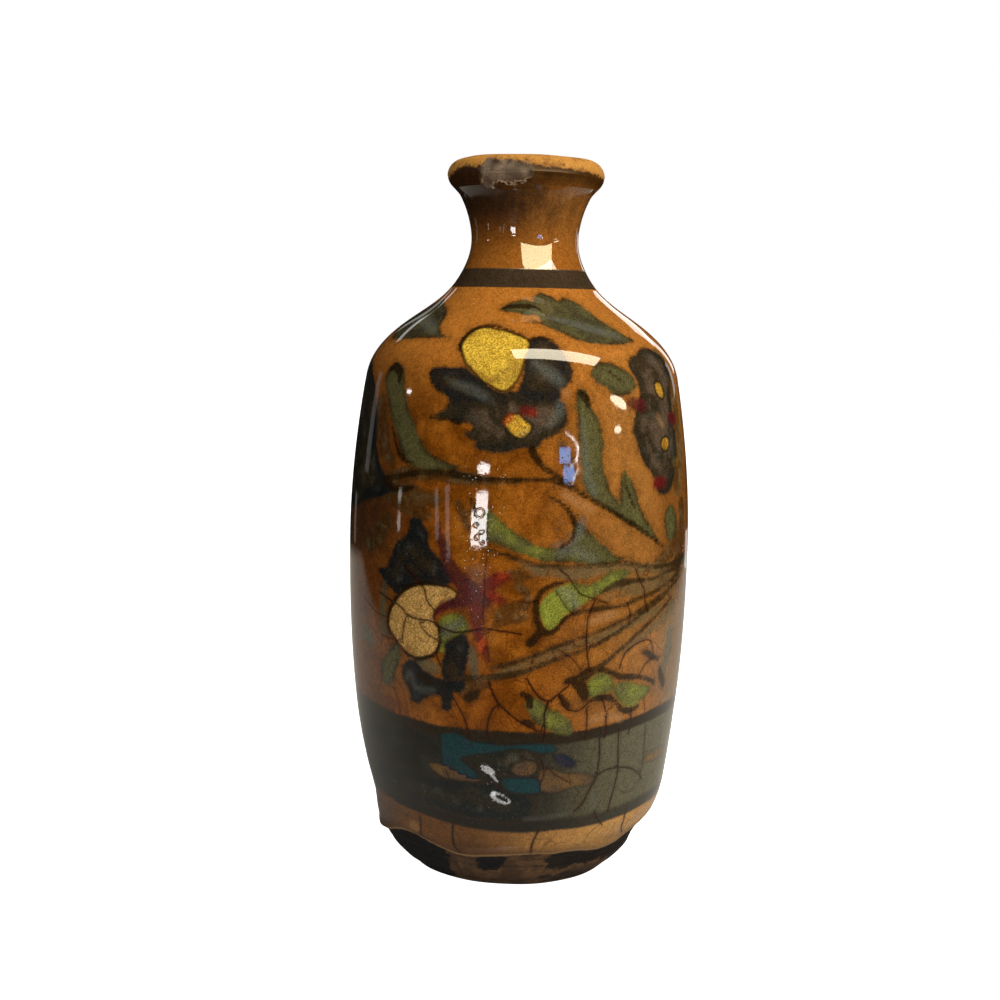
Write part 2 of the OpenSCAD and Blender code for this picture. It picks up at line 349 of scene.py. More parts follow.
class Recipe:
    """A material's node tree, with short names for the nodes that these finishes use."""

    def __init__(self, name):
        self.material = bpy.data.materials.new(name)
        self.material.use_nodes = True
        self.tree = self.material.node_tree
        self.shader = self.tree.nodes["Principled BSDF"]
        self.place = self.node("TexCoord").outputs["Object"]

    def node(self, kind, inputs=None, **settings):
        """One node, with its inputs given or linked and its settings made."""
        made = self.tree.nodes.new("ShaderNode" + kind)
        for key, value in settings.items():
            setattr(made, key, value)
        for key, value in (inputs or {}).items():
            self.give(made.inputs[key], value)
        return made

    def give(self, socket, value):
        if isinstance(value, bpy.types.NodeSocket):
            self.tree.links.new(value, socket)
        else:
            socket.default_value = value

    def noise(self, size, detail=2.0, rough=0.5, bend=0.0, place=None):
        """Soft blotches of about the given size in metres, from 0 to 1."""
        inputs = {"Vector": place or self.place, "Scale": 1 / size, "Detail": detail, "Roughness": rough,
                  "Distortion": bend}
        return self.node("TexNoise", inputs).outputs["Fac"]

    def sum(self, kind, a, b=0.0, c=0.0):
        """One step of arithmetic on up to three values."""
        made = self.node("Math", operation=kind)
        for socket, value in zip(made.inputs, (a, b, c)):
            self.give(socket, value)
        return made.outputs[0]

    def both(self, first, *more):
        """The values multiplied together, so that each can hold the others back."""
        for value in more:
            first = self.sum("MULTIPLY", first, value)
        return first

    def most(self, first, *more):
        """The largest of the values."""
        for value in more:
            first = self.sum("MAXIMUM", first, value)
        return first

    def ramp(self, value, low, high, start=0.0, end=1.0):
        """A smooth change from start to end as the value goes from low to high."""
        inputs = {"Value": value, "From Min": low, "From Max": high, "To Min": start, "To Max": end}
        return self.node("MapRange", inputs, interpolation_type="SMOOTHSTEP").outputs[0]

    def swing(self, noise, low=0.3, high=0.7):
        """Blotches stretched to go from -1 to 1."""
        return self.ramp(noise, low, high, -1.0, 1.0)

    def blend(self, share, a, b, how="MIX"):
        """Colour a where the share is 0, going over to b where it is 1."""
        made = self.node("Mix", data_type="RGBA", blend_type=how)
        for index, value in ((0, share), (6, a), (7, b)):
            self.give(made.inputs[index], value)
        return made.outputs[2]

    def shaded(self, colour, amount):
        """The colour made darker or lighter by the amount."""
        grey = self.node("CombineColor", {"Red": amount, "Green": amount, "Blue": amount}).outputs[0]
        return self.blend(1.0, colour, grey, "MULTIPLY")

    def painted(self, name):
        """The number kept for each point under that name."""
        return self.node("Attribute", attribute_name=name).outputs["Fac"]

    def axis(self, letter):
        """Metres across, back or up."""
        return self.node("SeparateXYZ", {"Vector": self.place}).outputs[letter]

    def surface(self, colour, rough, bumps):
        """Colour, roughness and a chain of (height, depth in metres) bumps on the shader."""
        self.give(self.shader.inputs["Base Color"], colour)
        self.give(self.shader.inputs["Roughness"], rough)
        normal = None
        for height, depth in bumps:
            inputs = {"Height": height, "Distance": depth, "Strength": 1.0}
            if normal:
                inputs["Normal"] = normal
            normal = self.node("Bump", inputs).outputs["Normal"]
        self.give(self.shader.inputs["Normal"], normal)
        return self.material


def sooty(r, grain):
    """Bare fired clay, brown where it is worn and black where soot has gone into it."""
    patch = r.ramp(r.noise(6 * MM, 4.0, 0.6, 0.4), 0.42, 0.62)
    clay = r.blend(patch, pigment("#4e3620"), pigment("#6e4f2e"))
    edge = r.sum("MULTIPLY_ADD", r.swing(r.noise(3 * MM, 4.0, 0.65)), 0.9, r.painted("soot_edge"))
    soot = r.both(r.ramp(edge, 0.35, -0.35), r.painted("soot_tone"))
    colour = r.blend(soot, clay, pigment("#0b0806"))
    return r.shaded(colour, r.ramp(grain, 0.3, 0.7, 0.65, 1.3)), patch


def stained_clay():
    """The bare clay of the foot and the floor's rim, dull and gritty."""
    r = Recipe("stained_clay")
    grain = r.noise(0.6 * MM, 3.0, 0.6)
    colour, patch = sooty(r, grain)
    return r.surface(colour, r.ramp(grain, 0.2, 0.8, 0.7, 0.95), [(patch, 0.25 * MM), (grain, 0.15 * MM)])


def finish_with(piece, material):
    """Gives a piece one material all over."""
    piece.data.materials.clear()
    piece.data.materials.append(material)


bare_clay = stained_clay()
finish_with(foot_ring, bare_clay)

# Floor slab
# The disc that closes the flask, with a plug that drops into the foot ring. Its rim shows as a bare strip
# under the glaze's edge, and it was smoothed into the wall with slip while the clay was leather-hard.

SLAB_STEP = 1.2 * MM
floor_outline = half_section("floor_slab")
floor_outline = [(0.0, floor_low[2])] + floor_outline + [(0.0, floor_high[2])]
floor_slab = throw_on_wheel("bare_floor_slab", fine_steps(floor_outline, SLAB_STEP))
spots = places_of(floor_slab)
move_to(floor_slab, off_centre(spots, turn_of(spots)))
soil(floor_slab, spots, turn_of(spots))
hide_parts("floor_slab")
finish_with(floor_slab, bare_clay)

# Clay wall, shoulder and neck, with the slip that lutes them
# These sections were thrown one by one, and all of them lie under the glaze, so their solids stay as they are
# and take the colour of the fired clay.


def fired_clay():
    """Sandy fired clay, seen where a coat has come away."""
    r = Recipe("fired_clay")
    grain = r.noise(0.8 * MM, 4.0, 0.65)
    colour = r.blend(grain, pigment("#6d4a30"), pigment("#b08a62"))
    return r.surface(colour, r.ramp(grain, 0.2, 0.8, 0.7, 0.9), [(grain, 0.2 * MM)])


plain_clay = fired_clay()
for name in ("foot_luting_slip", "floor_luting_slip", "body_wall", "shoulder_luting_slip", "shoulder",
             "neck_luting_slip", "neck", "lip_luting_slip"):
    finish_with(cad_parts[name], plain_clay)

# Lip ring
# The everted lip, with a rim that handling has worn down to the clay, and a shallow shell-shaped flake lost
# from its front.

lip_low, lip_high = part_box("lip_ring")
LIP_STEP = 0.6 * MM
# The radius at which the lip is unrolled, in millimetres.
LIP_RADIUS = 21
# The flake in degrees round and millimetres up, and the share of the lip's radius that it reaches in to.
FLAKE = [
    (1.0, [(-33, 197), (-30, 198.4), (-24, 198.2), (-14, 197.9), (-5, 197.6), (2, 196.9), (5, 195.3),
           (4, 193.6), (-1, 192.5), (-8, 192), (-15, 192.2), (-21, 192.5), (-27, 191.4), (-32, 191.2),
           (-35, 192.4), (-35, 194.6)]),
]
FLAKE_IN_TO = 0.74
# How deep the flake is, how many millimetres it takes to get that deep, and how far it drops for its depth.
FLAKE_DEPTH = 0.35 * MM
FLAKE_SLOPE = 1.2
FLAKE_DROP = 0.3
# Handling wore the rim down by this much, from this far under the lip, with waves as in a ripple.
RIM_WEAR = 0.22 * MM
RIM_REACH = 4 * MM
RIM_WAVES = [(0.1 * MM, 2, -45), (0.06 * MM, 3, 50), (0.05 * MM, 7, 50)]
RIM_SHINE = 0.1


def flake_edge(places, turn):
    """Millimetres from the edge of the lost flake, negative inside it."""
    reach = from_axis(places) / MM
    edge = paint_field(FLAKE, True, turn, reach, places[:, 2] / MM, straight_up, lambda run: LIP_RADIUS)[0]
    return np.where(reach > lip_high[0] / MM * FLAKE_IN_TO, edge, PAINT_REACH)


def handled_lip(places, turn):
    """The lip's uneven rim and the hollow of its flake."""
    share = fade(places[:, 2], lip_low[2] - RIM_REACH, lip_high[2])
    hollow = fade(-flake_edge(places, turn), 0.0, FLAKE_SLOPE) * FLAKE_DEPTH
    moved = places.copy()
    moved[:, 0] -= hollow * np.sin(np.radians(turn))
    moved[:, 1] += hollow * np.cos(np.radians(turn))
    moved[:, 2] += share * (ripple(turn, *RIM_WAVES) - RIM_WEAR) - hollow * FLAKE_DROP
    return moved


lip_outline = half_section("lip_ring")
lip_ring = throw_on_wheel("worn_lip_ring", fine_steps(lip_outline + lip_outline[:1], LIP_STEP))
spots = places_of(lip_ring)
paint_on(lip_ring, "flake_edge", flake_edge(spots, turn_of(spots)))
move_to(lip_ring, handled_lip(spots, turn_of(spots)))
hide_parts("lip_ring")

# Where wear has taken the glaze off the lip, in degrees round and millimetres up.
WEAR_LINE = [(-180, 196.4), (-150, 195.6), (-120, 196.2), (-90, 194.4), (-69, 194.9), (-53, 196.7),
             (-41, 196.2), (-33, 196.6), (-30, 198.3), (-20, 198.2), (-5, 197.7), (3, 197), (10, 196.6),
             (18, 196.3), (28, 196.2), (37, 196.2), (51, 195.8), (67, 195.2), (90, 194.8), (125, 196.4),
             (155, 195.8), (180, 196.4)]


def above_line(line, places, turn):
    """Millimetres that each point lies above a wavy line drawn round the flask."""
    smooth = through(line, False, straight_up)
    return places[:, 2] / MM - np.interp(turn, smooth[:, 0], smooth[:, 1])


paint_on(lip_ring, "worn", above_line(WEAR_LINE, spots, turn_of(spots)))


def neck_shaded_left(r):
    """The neck's glaze: amber on the right, nearly black toward the left as painted shade."""
    drawn_out = r.node("Mapping", {"Vector": r.place, "Scale": (1.0, 1.0, 0.3)}).outputs[0]
    streak = r.noise(4 * MM, 4.0, 0.6, 0.2, drawn_out)
    side = r.sum("MULTIPLY_ADD", r.swing(streak), 4.5 * MM, r.axis("X"))
    return r.blend(r.ramp(side, -9 * MM, 22 * MM), pigment("#3d2716"), pigment("#a0692e"))


def flaked(r, colour, grain):
    """The colour with the broken grey-brown clay of the flake and its pale lower edge laid over it."""
    edge = r.sum("ADD", r.painted("flake_edge"), r.ramp(r.noise(1.6 * MM, 3.0, 0.6), 0.3, 0.7, -0.6, 0.6))
    broken = r.blend(r.ramp(grain, 0.3, 0.8), pigment("#725f4e"), pigment("#ab947c"))
    broken = r.blend(r.ramp(r.noise(4 * MM, 3.0), 0.42, 0.66), broken, pigment("#675647"))
    inside = r.ramp(edge, 0.9, -1.3)
    colour = r.blend(r.both(inside, 0.9), colour, broken)
    rim_gap = r.sum("ABSOLUTE", r.sum("ADD", edge, 0.1))
    patchy = r.ramp(r.noise(2.4 * MM, 2.0), 0.36, 0.56)
    low_rim = r.both(r.ramp(rim_gap, 0.42, 0.12), r.ramp(r.axis("Z"), 194 * MM, 192.5 * MM), patchy)
    return r.blend(low_rim, colour, pigment("#c2a584")), inside


def worn_to_clay(r, colour, grain):
    """The colour worn to tan clay along the rim, with dirt specks at the glaze's end and painted shade below.
    """
    streak = r.noise(4 * MM, 3.0, 0.6, 0.5)
    clay = r.blend(r.ramp(grain, 0.2, 0.8), pigment("#a86c24"), pigment("#dca04c"))
    clay = r.blend(r.ramp(streak, 0.48, 0.75, 0.0, 0.85), clay, pigment("#84531f"))
    line = r.sum("MULTIPLY_ADD", r.swing(r.noise(1.4 * MM, 3.0, 0.6)), 0.4, r.painted("worn"))
    specks = r.both(r.ramp(r.noise(0.8 * MM, 3.0, 0.6), 0.54, 0.62), r.ramp(line, 1.8, 0.2))
    # A painted shadow just under the worn line, deeper to the right.
    to_right = r.ramp(r.axis("X"), -12 * MM, 6 * MM, 0.15, 0.85)
    shadow_under_rim = r.both(r.ramp(line, -5.5, -1.2), r.ramp(line, 0.4, -0.2), to_right)
    colour = r.blend(shadow_under_rim, colour, pigment("#241407"))
    worn = r.ramp(line, -0.3, 0.9)
    return r.blend(worn, colour, r.blend(specks, clay, pigment("#402811"))), worn


def worn_rim():
    """The lip's glaze, darkened toward the left as painted shade, its worn rim and its flake."""
    r = Recipe("worn_rim")
    r.shader.inputs["Specular IOR Level"].default_value = RIM_SHINE
    grain = r.noise(0.45 * MM, 4.0, 0.65)
    colour, worn = worn_to_clay(r, neck_shaded_left(r), grain)
    colour, inside = flaked(r, colour, grain)
    rough = r.sum("MULTIPLY_ADD", r.most(worn, inside), r.ramp(grain, 0.2, 0.8, 0.2, 0.4), 0.45)
    return r.surface(colour, rough, [(grain, 0.08 * MM), (inside, -0.1 * MM)])


finish_with(lip_ring, worn_rim())

# Painted slip and amber glaze
# A skin of pale slip, painted with flowers, leaves and bands, then dipped in an amber glaze that pooled in a
# roll above the foot. It pulled thin at the lip, crazed low down and took a fine speckle in the kiln.

ground_outline = half_section("slip_ground")
glaze_outline = half_section("outer_glaze")
FACE_STEP = 0.92 * MM
# Of corners at about one height, the outer one is the skin's lip.
OUTER_FIRST = 0.2
# The face is smoothed over this length, with this many steps to each side, and between these heights.
EASE = 2.2 * MM
EASE_STEPS = 8
EASED_FROM, EASED_TO = (15 * MM, 24 * MM), (182 * MM, 188 * MM)


def outer_end(outline):
    """How many corners of a thin skin's outline face out, counted from its foot to its lip."""
    return max(range(len(outline)), key=lambda k: outline[k][1] + outline[k][0] * OUTER_FIRST) + 1


def smooth_rail(points, step):
    """A smooth curve through the points, with even steps along it."""
    p = np.array(points)
    run = np.concatenate(([0], np.cumsum(np.hypot(*np.diff(p, axis=0).T))))
    slope = np.gradient(p, run, axis=0)
    at = np.linspace(0, run[-1], math.ceil(run[-1] / step) + 1)
    k = np.clip(np.searchsorted(run, at, "right") - 1, 0, len(run) - 2)
    gap = (run[k + 1] - run[k])[:, None]
    t = ((at - run[k]) / gap[:, 0])[:, None]
    curve = ((2 * t ** 3 - 3 * t ** 2 + 1) * p[k] + (t ** 3 - 2 * t ** 2 + t) * gap * slope[k]
             + (3 * t ** 2 - 2 * t ** 3) * p[k + 1] + (t ** 3 - t ** 2) * gap * slope[k + 1])
    return [tuple(c) for c in curve]


def eased(rail):
    """The rail with the small flats of its drawing smoothed away, except at the foot and the lip."""
    p = np.array(rail)
    ends = np.arange(1, EASE_STEPS + 1)
    longer = np.vstack((2 * p[0] - p[ends[::-1]], p, 2 * p[-1] - p[-1 - ends]))
    weight = np.exp(-0.5 * (np.arange(-EASE_STEPS, EASE_STEPS + 1) * FACE_STEP / EASE) ** 2)
    weight /= weight.sum()
    soft = np.column_stack([np.convolve(longer[:, k], weight, "valid") for k in (0, 1)])
    share = fade(p[:, 1], *EASED_FROM) * (1 - fade(p[:, 1], *EASED_TO))
    return [tuple(c) for c in p + (soft - p) * share[:, None]]


def few_points(outline, slack):
    """The outline with only the points that keep it within the slack of where it was."""
    kept, k = [outline[0]], 0
    while k < len(outline) - 1:
        ahead = k + 1
        while ahead < len(outline) - 1:
            run = np.array(outline[k:ahead + 2]) - outline[k]
            along = run[-1] / np.linalg.norm(run[-1])
            if np.abs(run[:, 0] * along[1] - run[:, 1] * along[0]).max() > slack:
                break
            ahead += 1
        kept.append(outline[ahead])
        k = ahead
    return kept


# The side that lies on the clay is never seen, so it has fewer rows.
BACK_SLACK = 0.08 * MM
outer_rail = eased(smooth_rail(glaze_outline[:outer_end(glaze_outline)], FACE_STEP))
inner_rail = few_points(ground_outline[outer_end(ground_outline):], BACK_SLACK)
skin = throw_on_wheel("painted_amber_glaze", outer_rail + inner_rail + outer_rail[:1])
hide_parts("slip_ground", "outer_glaze")

spots = places_of(skin)
turn = turn_of(spots)
rail_radius = np.array([r for r, z in outer_rail]) / MM
rail_height = np.array([z for r, z in outer_rail]) / MM
rail_run = np.concatenate(([0], np.cumsum(np.hypot(np.diff(rail_radius), np.diff(rail_height)))))

# Washes laid first, as degrees round, millimetres up and half the stroke's width. 0 is grey-tan, 0.5 a
# brown shade and 1 grey-green.
WASHES = [
    (0.0, [(-6, 65.2, 0.6), (2, 67.2, 1.0), (10, 69.8, 1.1), (20, 72.6, 1.2), (30, 75, 1.2),
           (40, 77.2, 1.2), (52, 79.4, 1.2)]),
    (0.0, [(0, 94.4, 0.5), (6, 92.6, 1.4), (14, 91.6, 1.7), (22, 91.8, 1.7), (32, 92.6, 1.0),
           (42, 91.4, 1.4), (56, 89.6, 2.0)]),
    (0.0, [(24, 86.6, 0.6), (32, 87.2, 1.4), (42, 87.2, 1.6), (56, 87.6, 1.8)]),
    (0.0, [(36, 69.4, 0.8), (44, 72.4, 1.1), (54, 76, 1.5), (62, 79, 2.0)]),
    (0.5, [(-48, 113.6, 1.6), (-40, 115.4, 1.9), (-30, 116, 1.9), (-20, 115.6, 1.5), (-10, 115, 0.9),
           (0, 115, 0.5)]),
    (0.5, [(-46, 110, 2.4), (-40, 108, 2.8), (-34, 107, 2.6), (-30, 105, 1.6)]),
    (0.5, [(0.4, 88.4, 0.8), (2.6, 86, 1.4), (2, 83, 1.5), (-2.6, 82, 1.8), (-5, 80, 1.6),
           (-6, 77.6, 0.8)]),
    (0.5, [(-4, 79.4, 1.6), (0, 79.8, 1.6), (3.6, 80.4, 0.8)]),
    (0.0, [(28, 84.4, 0.5), (36, 85.2, 1.2), (46, 86, 1.4), (58, 87, 1.4)]),
    (0.32, [(64, 147, 2.4), (66, 140, 4.6), (66, 130, 5.0), (66, 120, 5.0), (64, 112, 3.0)]),
    (0.5, [(13, 124.6, 0.9), (14.6, 121.4, 1.5), (16, 117.4, 1.5), (17, 114.6, 0.6)]),
    (1.0, [(-36, 67.2, 0.8), (-31, 65.8, 1.9), (-27, 64.8, 2.0)]),
    (1.0, [(-14.4, 71, 0.8), (-13.6, 67.4, 1.4), (-13, 64, 1.0)]),
    (1.0, [(-47, 86, 1.0), (-48.4, 79, 1.4), (-48, 72, 1.2)]),
    (0.5, [(-19, 109, 1.0), (-17.4, 106, 1.6), (-16, 102.6, 1.0)]),
    (0.5, [(-3, 91.6, 1.0), (0, 91, 1.8), (3, 90.4, 1.0)]),
    (0.5, [(2, 155.3, 0.5), (5, 155.6, 0.9), (8, 155.2, 0.5)]),
    (1.0, [(58, 61, 1.6), (60, 66, 2.4), (61, 72, 2.0)]),
    (0.5, [(50, 92.6, 1.0), (56, 93.6, 2.0), (61, 96, 2.4), (62, 102, 1.8)]),
    (0.5, [(-57, 110.4, 2.6), (-46, 110.8, 3.2), (-36, 110, 2.9), (-27, 109, 1.6)]),
    (0.5, [(64, 90, 3.0), (68, 98, 3.0), (68, 106, 2.6)]),
    (0.5, [(-21, 60, 1.2), (-15, 60.6, 1.8), (-9.6, 62, 1.4)]),
    (0.5, [(-56, 96, 3.0), (-50, 99, 2.6), (-46, 103, 2.0)]),
    (0.5, [(-56, 133, 2.6), (-54, 128, 2.8), (-51, 122, 2.6), (-46, 118, 1.6)]),
    (1.0, [(-62, 70, 2.4), (-57, 69.4, 2.0), (-54, 68, 1.2)]),
]

# Leaves: 0 is black-green, 0.5 olive and 1 a bright yellow-green.
LEAVES = [
    (0.2, [(-30, 150.7), (-34, 151.6), (-38, 153), (-40.5, 154.6), (-43, 156.4), (-46, 157.6),
           (-51, 158.9), (-58, 160), (-66, 161), (-76, 159), (-78, 154), (-70, 150.3), (-58, 150),
           (-48, 150.5), (-39, 150.6)]),
    (0.3, [(-13, 158.6), (-9, 160.2), (-4, 160.8), (1, 161.2), (5, 160.8), (7.4, 162.2), (10, 163.2),
           (14, 163), (20, 162), (23, 161.2), (26.6, 161.9), (30.6, 161.7), (35, 160.9), (38, 159.8),
           (40, 158.2), (41, 156.6), (44, 154.9), (48, 152.7), (52, 150.9), (47, 150.3), (40, 149.9),
           (34, 149.8), (28, 150.2), (22, 150.9), (18.6, 152.1), (15, 153.2), (11, 154.2), (8, 155),
           (8.4, 156.4), (5.6, 157.2), (2, 157.1), (-3, 157.6), (-8, 157.8)]),
    (0.43, [(-54, 142.8), (-51, 144), (-47, 143.2), (-45, 141.2), (-44, 138.6), (-42.4, 135),
            (-40.5, 131.6), (-37.6, 128.6), (-35, 125.6), (-32, 122.6), (-28.6, 120.6), (-24, 119.4),
            (-19, 118.2), (-24, 116.8), (-32, 117), (-39, 118.2), (-42, 121.2), (-45, 125.4),
            (-47.6, 128.4), (-50.2, 131.2), (-52.6, 134.6), (-54.8, 137), (-56.2, 139.6)]),
    (0.48, [(19, 138.3), (21.2, 138.5), (22.8, 136.4), (23.8, 133.8), (26, 131), (27.2, 127.6),
            (27.4, 123.6), (27, 120), (27.8, 116.2), (29.4, 113), (31.6, 110.4), (33, 109.4),
            (33.2, 112), (33.4, 115.4), (35, 117.6), (37.8, 115.4), (39.6, 112), (41.6, 108),
            (44, 104.6), (47.6, 101), (52, 96.8), (46, 99), (41, 101.4), (36, 103.8), (31, 106.2),
            (26, 108.8), (22, 111.4), (20, 114.6), (19.2, 118.4), (19.2, 122.6), (18.4, 126.4),
            (18.6, 130.4), (18, 134.4)]),
    (0.4, [(24, 142.8), (26.6, 145), (31, 145.4), (37, 144.2), (41.4, 142), (42.8, 139.4),
           (38.8, 137.2), (33, 137), (29.4, 139), (26, 140.4)]),
    (0.65, [(-10.6, 107.6), (-7.6, 106.6), (-4, 104.2), (0, 101.6), (5, 99.2), (10, 98.2), (13, 98),
            (12, 95), (8, 94.8), (3, 95.8), (-3, 97.8), (-7, 99.2), (-10.4, 100.6)]),
    (0.55, [(12, 98), (15, 98.6), (16.6, 100.6), (17, 104.4), (19, 104.2), (22, 102), (26, 99),
            (30, 96.4), (35, 94.2), (29, 93.4), (21, 93.6), (14, 94.4), (11, 95)]),
    (1.0, [(6.7, 81.4), (7.2, 84), (9.4, 86.4), (12.2, 87.8), (15, 88.7), (18, 88.7), (17.6, 85),
           (17, 81.4), (14.8, 80.5), (13.4, 78.8), (11.8, 77.4), (10.2, 76.6), (8.6, 77.4),
           (7.4, 79.2)]),
    (0.74, [(16.4, 88.8), (20, 88.4), (23.6, 88.4), (27, 90), (30.4, 91.6), (34, 91.8), (37, 90.6),
            (35, 89), (30.6, 87.2), (26.6, 85.8), (22.8, 84.2), (19, 82.2), (16.4, 81.6)]),
    (0.74, [(23, 61.6), (24.4, 63.5), (27.2, 64.3), (30.4, 63.8), (32.6, 62), (32.8, 60), (31, 58.6),
            (28, 58.2), (25.4, 57.6), (23.6, 58.8)]),
    (0.74, [(33.2, 60), (36, 60.9), (40, 60.5), (45, 59.4), (49.4, 58), (50.4, 56.7), (47, 55),
            (43.6, 53.6), (40.6, 53.3), (37.6, 54.4), (35.4, 56), (33.6, 58)]),
    (0.66, [(3.6, 58.2), (6, 58.5), (9, 57), (11.4, 55.4), (14, 54.5), (16.6, 53), (18.6, 50.6),
            (18.8, 48.4), (15.6, 48), (12, 49.3), (9, 50.4), (6, 52.4), (4.2, 54.6), (3.4, 56.4)]),
    (0.45, [(-49.4, 58), (-50.4, 61), (-48.8, 64.6), (-45, 68), (-42, 69.8), (-40.2, 68.4), (-40.6, 65),
            (-42.4, 62), (-44.2, 58.8), (-47, 57.2)]),
    (0.5, [(54, 104), (56.6, 106.6), (60, 106.4), (62.4, 103.4), (62, 99.6), (59, 97.4), (55.6, 98.6)]),
    (0.74, [(-25.2, 74.6), (-24.8, 78), (-22, 80), (-18.4, 80.2), (-15.8, 78.4), (-15, 75.8),
            (-17, 74.4), (-20.4, 73.4), (-22.4, 71.4), (-23, 69), (-25.2, 69.4), (-25.4, 72)]),
]

# Flower hearts: 0 is tan and 1 a strong gold.
HEARTS = [
    (1.0, [(-23.4, 150.4), (-21.4, 152.4), (-18, 153.4), (-14, 153.4), (-9, 153), (-4, 152.2),
           (0, 151.2), (2, 149.4), (0.6, 146), (-0.6, 143.5), (-1.8, 141.2), (-3.4, 139.3),
           (-4.8, 138.4), (-6.4, 138.2), (-9.4, 139), (-13, 140.7), (-16.6, 142.9), (-20.4, 145.8),
           (-22.8, 148.2)]),
    (0.0, [(-45.2, 74.4), (-44.4, 77.8), (-42, 80.8), (-39.4, 83.2), (-35.6, 85.2), (-31, 86.4),
           (-25.4, 86.9), (-20.8, 86.3), (-19.2, 85.2), (-20.2, 83.8), (-23.4, 82.3), (-26, 80.6),
           (-27.2, 78.6), (-26.4, 77), (-25.4, 75.2), (-25.1, 72), (-26.2, 69.6), (-29, 68.1),
           (-33.6, 67.2), (-37, 67.9), (-40, 69.5), (-43, 71.6)]),
    (0.7, [(-5, 129.8), (-3.6, 131.6), (-1, 132), (0.8, 130.8), (3, 129.2), (2.2, 127.4), (0.2, 126.4),
           (-2, 127), (-3.9, 128.4)]),
    (0.5, [(53.4, 138.9), (55, 139.7), (57.4, 139.2), (58.6, 137.4), (58, 135.9), (56, 136),
           (54.2, 137.2)]),
    (0.4, [(53.6, 123.4), (55.2, 125), (58, 125.2), (59.2, 123.6), (57.6, 122.2), (55, 122.2)]),
]

# Petals and dark washes: 0 is navy-black, 0.5 brown-black and 1 a lighter grey-brown.
PETALS = [
    (0.12, [(-33.6, 141.2), (-32.6, 142.8), (-29.4, 143.4), (-25, 143.5), (-20, 143.4), (-16, 141.8),
            (-12, 139.8), (-8, 138), (-4, 137.4), (-3, 134.6), (-10, 133.6), (-18, 134.6), (-24, 135.4),
            (-27.6, 136.6), (-30.6, 138.2), (-32.6, 139.6)]),
    (0.22, [(2.6, 150.4), (5.4, 151.4), (9, 151.4), (12.2, 150.4), (14.6, 148), (17, 145.4),
            (17.8, 143), (17.2, 141.2), (15.4, 139.6), (13.4, 138), (12.6, 136), (9, 134.6), (4, 135),
            (-1, 137.4), (0.2, 141.5), (0.8, 146), (1.6, 148.6)]),
    (0.5, [(-31, 130.6), (-27.6, 132), (-25.4, 133.4), (-24.8, 134.8), (-18, 135.4), (-10, 136.6),
           (-3, 138), (4, 137.6), (10, 136.6), (13.2, 135.2), (14.8, 132.8), (15, 130.6), (13.6, 128.6),
           (10.6, 126.8), (7, 125.4), (4.6, 123.2), (1.6, 123.8), (-1.4, 123.4), (-4.4, 122.5),
           (-8.4, 122.3), (-12.4, 122.9), (-15.6, 123.4), (-14.2, 124.4), (-16.6, 125.6),
           (-18.5, 126.9), (-16.2, 127.9), (-16.6, 129), (-21, 129.6), (-26, 130)]),
    (0.5, [(41, 144.4), (43, 146.4), (47, 147.3), (51, 148.5), (55, 149), (61, 148.4), (67, 146),
           (67.4, 141), (65, 136.6), (64.6, 131), (65.6, 125), (64.6, 119), (61, 113.4), (57, 110.6),
           (52, 110.6), (49.6, 113), (47.6, 115.8), (44.8, 118), (42.6, 121), (41, 124.4),
           (39.6, 127.8), (40.4, 130.6), (41.6, 132.8), (43.6, 135.4), (44.2, 138.4), (43, 141.4)]),
    (0.2, [(-78, 144), (-68, 140), (-62, 136), (-58.4, 131), (-56.6, 124), (-54, 118.6), (-50, 114.6),
           (-46, 112.6), (-45, 110.4), (-51, 108.4), (-60, 106.6), (-70, 104), (-80, 104.6), (-88, 112),
           (-90, 126), (-86, 140)]),
    (0.0, [(-50.4, 88.6), (-46.4, 90.4), (-44.4, 92.4), (-43.4, 95.4), (-41.6, 97.8), (-38, 98.8),
           (-36.6, 101.4), (-35.6, 104), (-32.4, 104.2), (-29.6, 101), (-28.6, 97.4), (-26, 95.2),
           (-23.6, 93.4), (-22.2, 91), (-20.6, 88.4), (-24, 87.2), (-29, 86.8), (-34, 86), (-38, 84.8),
           (-41, 83.2), (-44.4, 84.4), (-48, 86.6)]),
    (0.08, [(-23, 69.4), (-22.4, 72), (-20.6, 73.4), (-18.6, 74.8), (-16, 75), (-15, 72), (-15.4, 67.6),
            (-16.6, 64), (-16.4, 60.8), (-19, 59.2), (-22, 61), (-24.4, 63.6), (-24.4, 66.6)]),
    (-0.15, [(-40, 61.6), (-39, 64.6), (-35.4, 66), (-30.6, 63.8), (-26.6, 62.8), (-23.6, 62),
             (-20.8, 59.6), (-20.2, 55.4), (-21.6, 53.5), (-24, 54), (-24.8, 56.8), (-27.4, 57.3),
             (-30.6, 56), (-33, 54.4), (-36, 54.8), (-37.2, 57.4), (-38.6, 59)]),
    (0.55, [(-18.6, 41), (-14, 42.2), (-8, 43.4), (-2, 44.4), (4, 44.2), (7.6, 42.8), (8.2, 39.9),
            (6.6, 37), (1, 36.4), (-5, 37.6), (-11, 39.2)]),
    (0.15, [(-60, 33), (-48, 34.6), (-34, 33.6), (-22, 33.8), (-10, 34), (-2, 31.6), (4, 30.6),
            (6, 27.6), (2, 24.6), (-14, 24), (-30, 25), (-46, 26.4), (-58, 28)]),
]

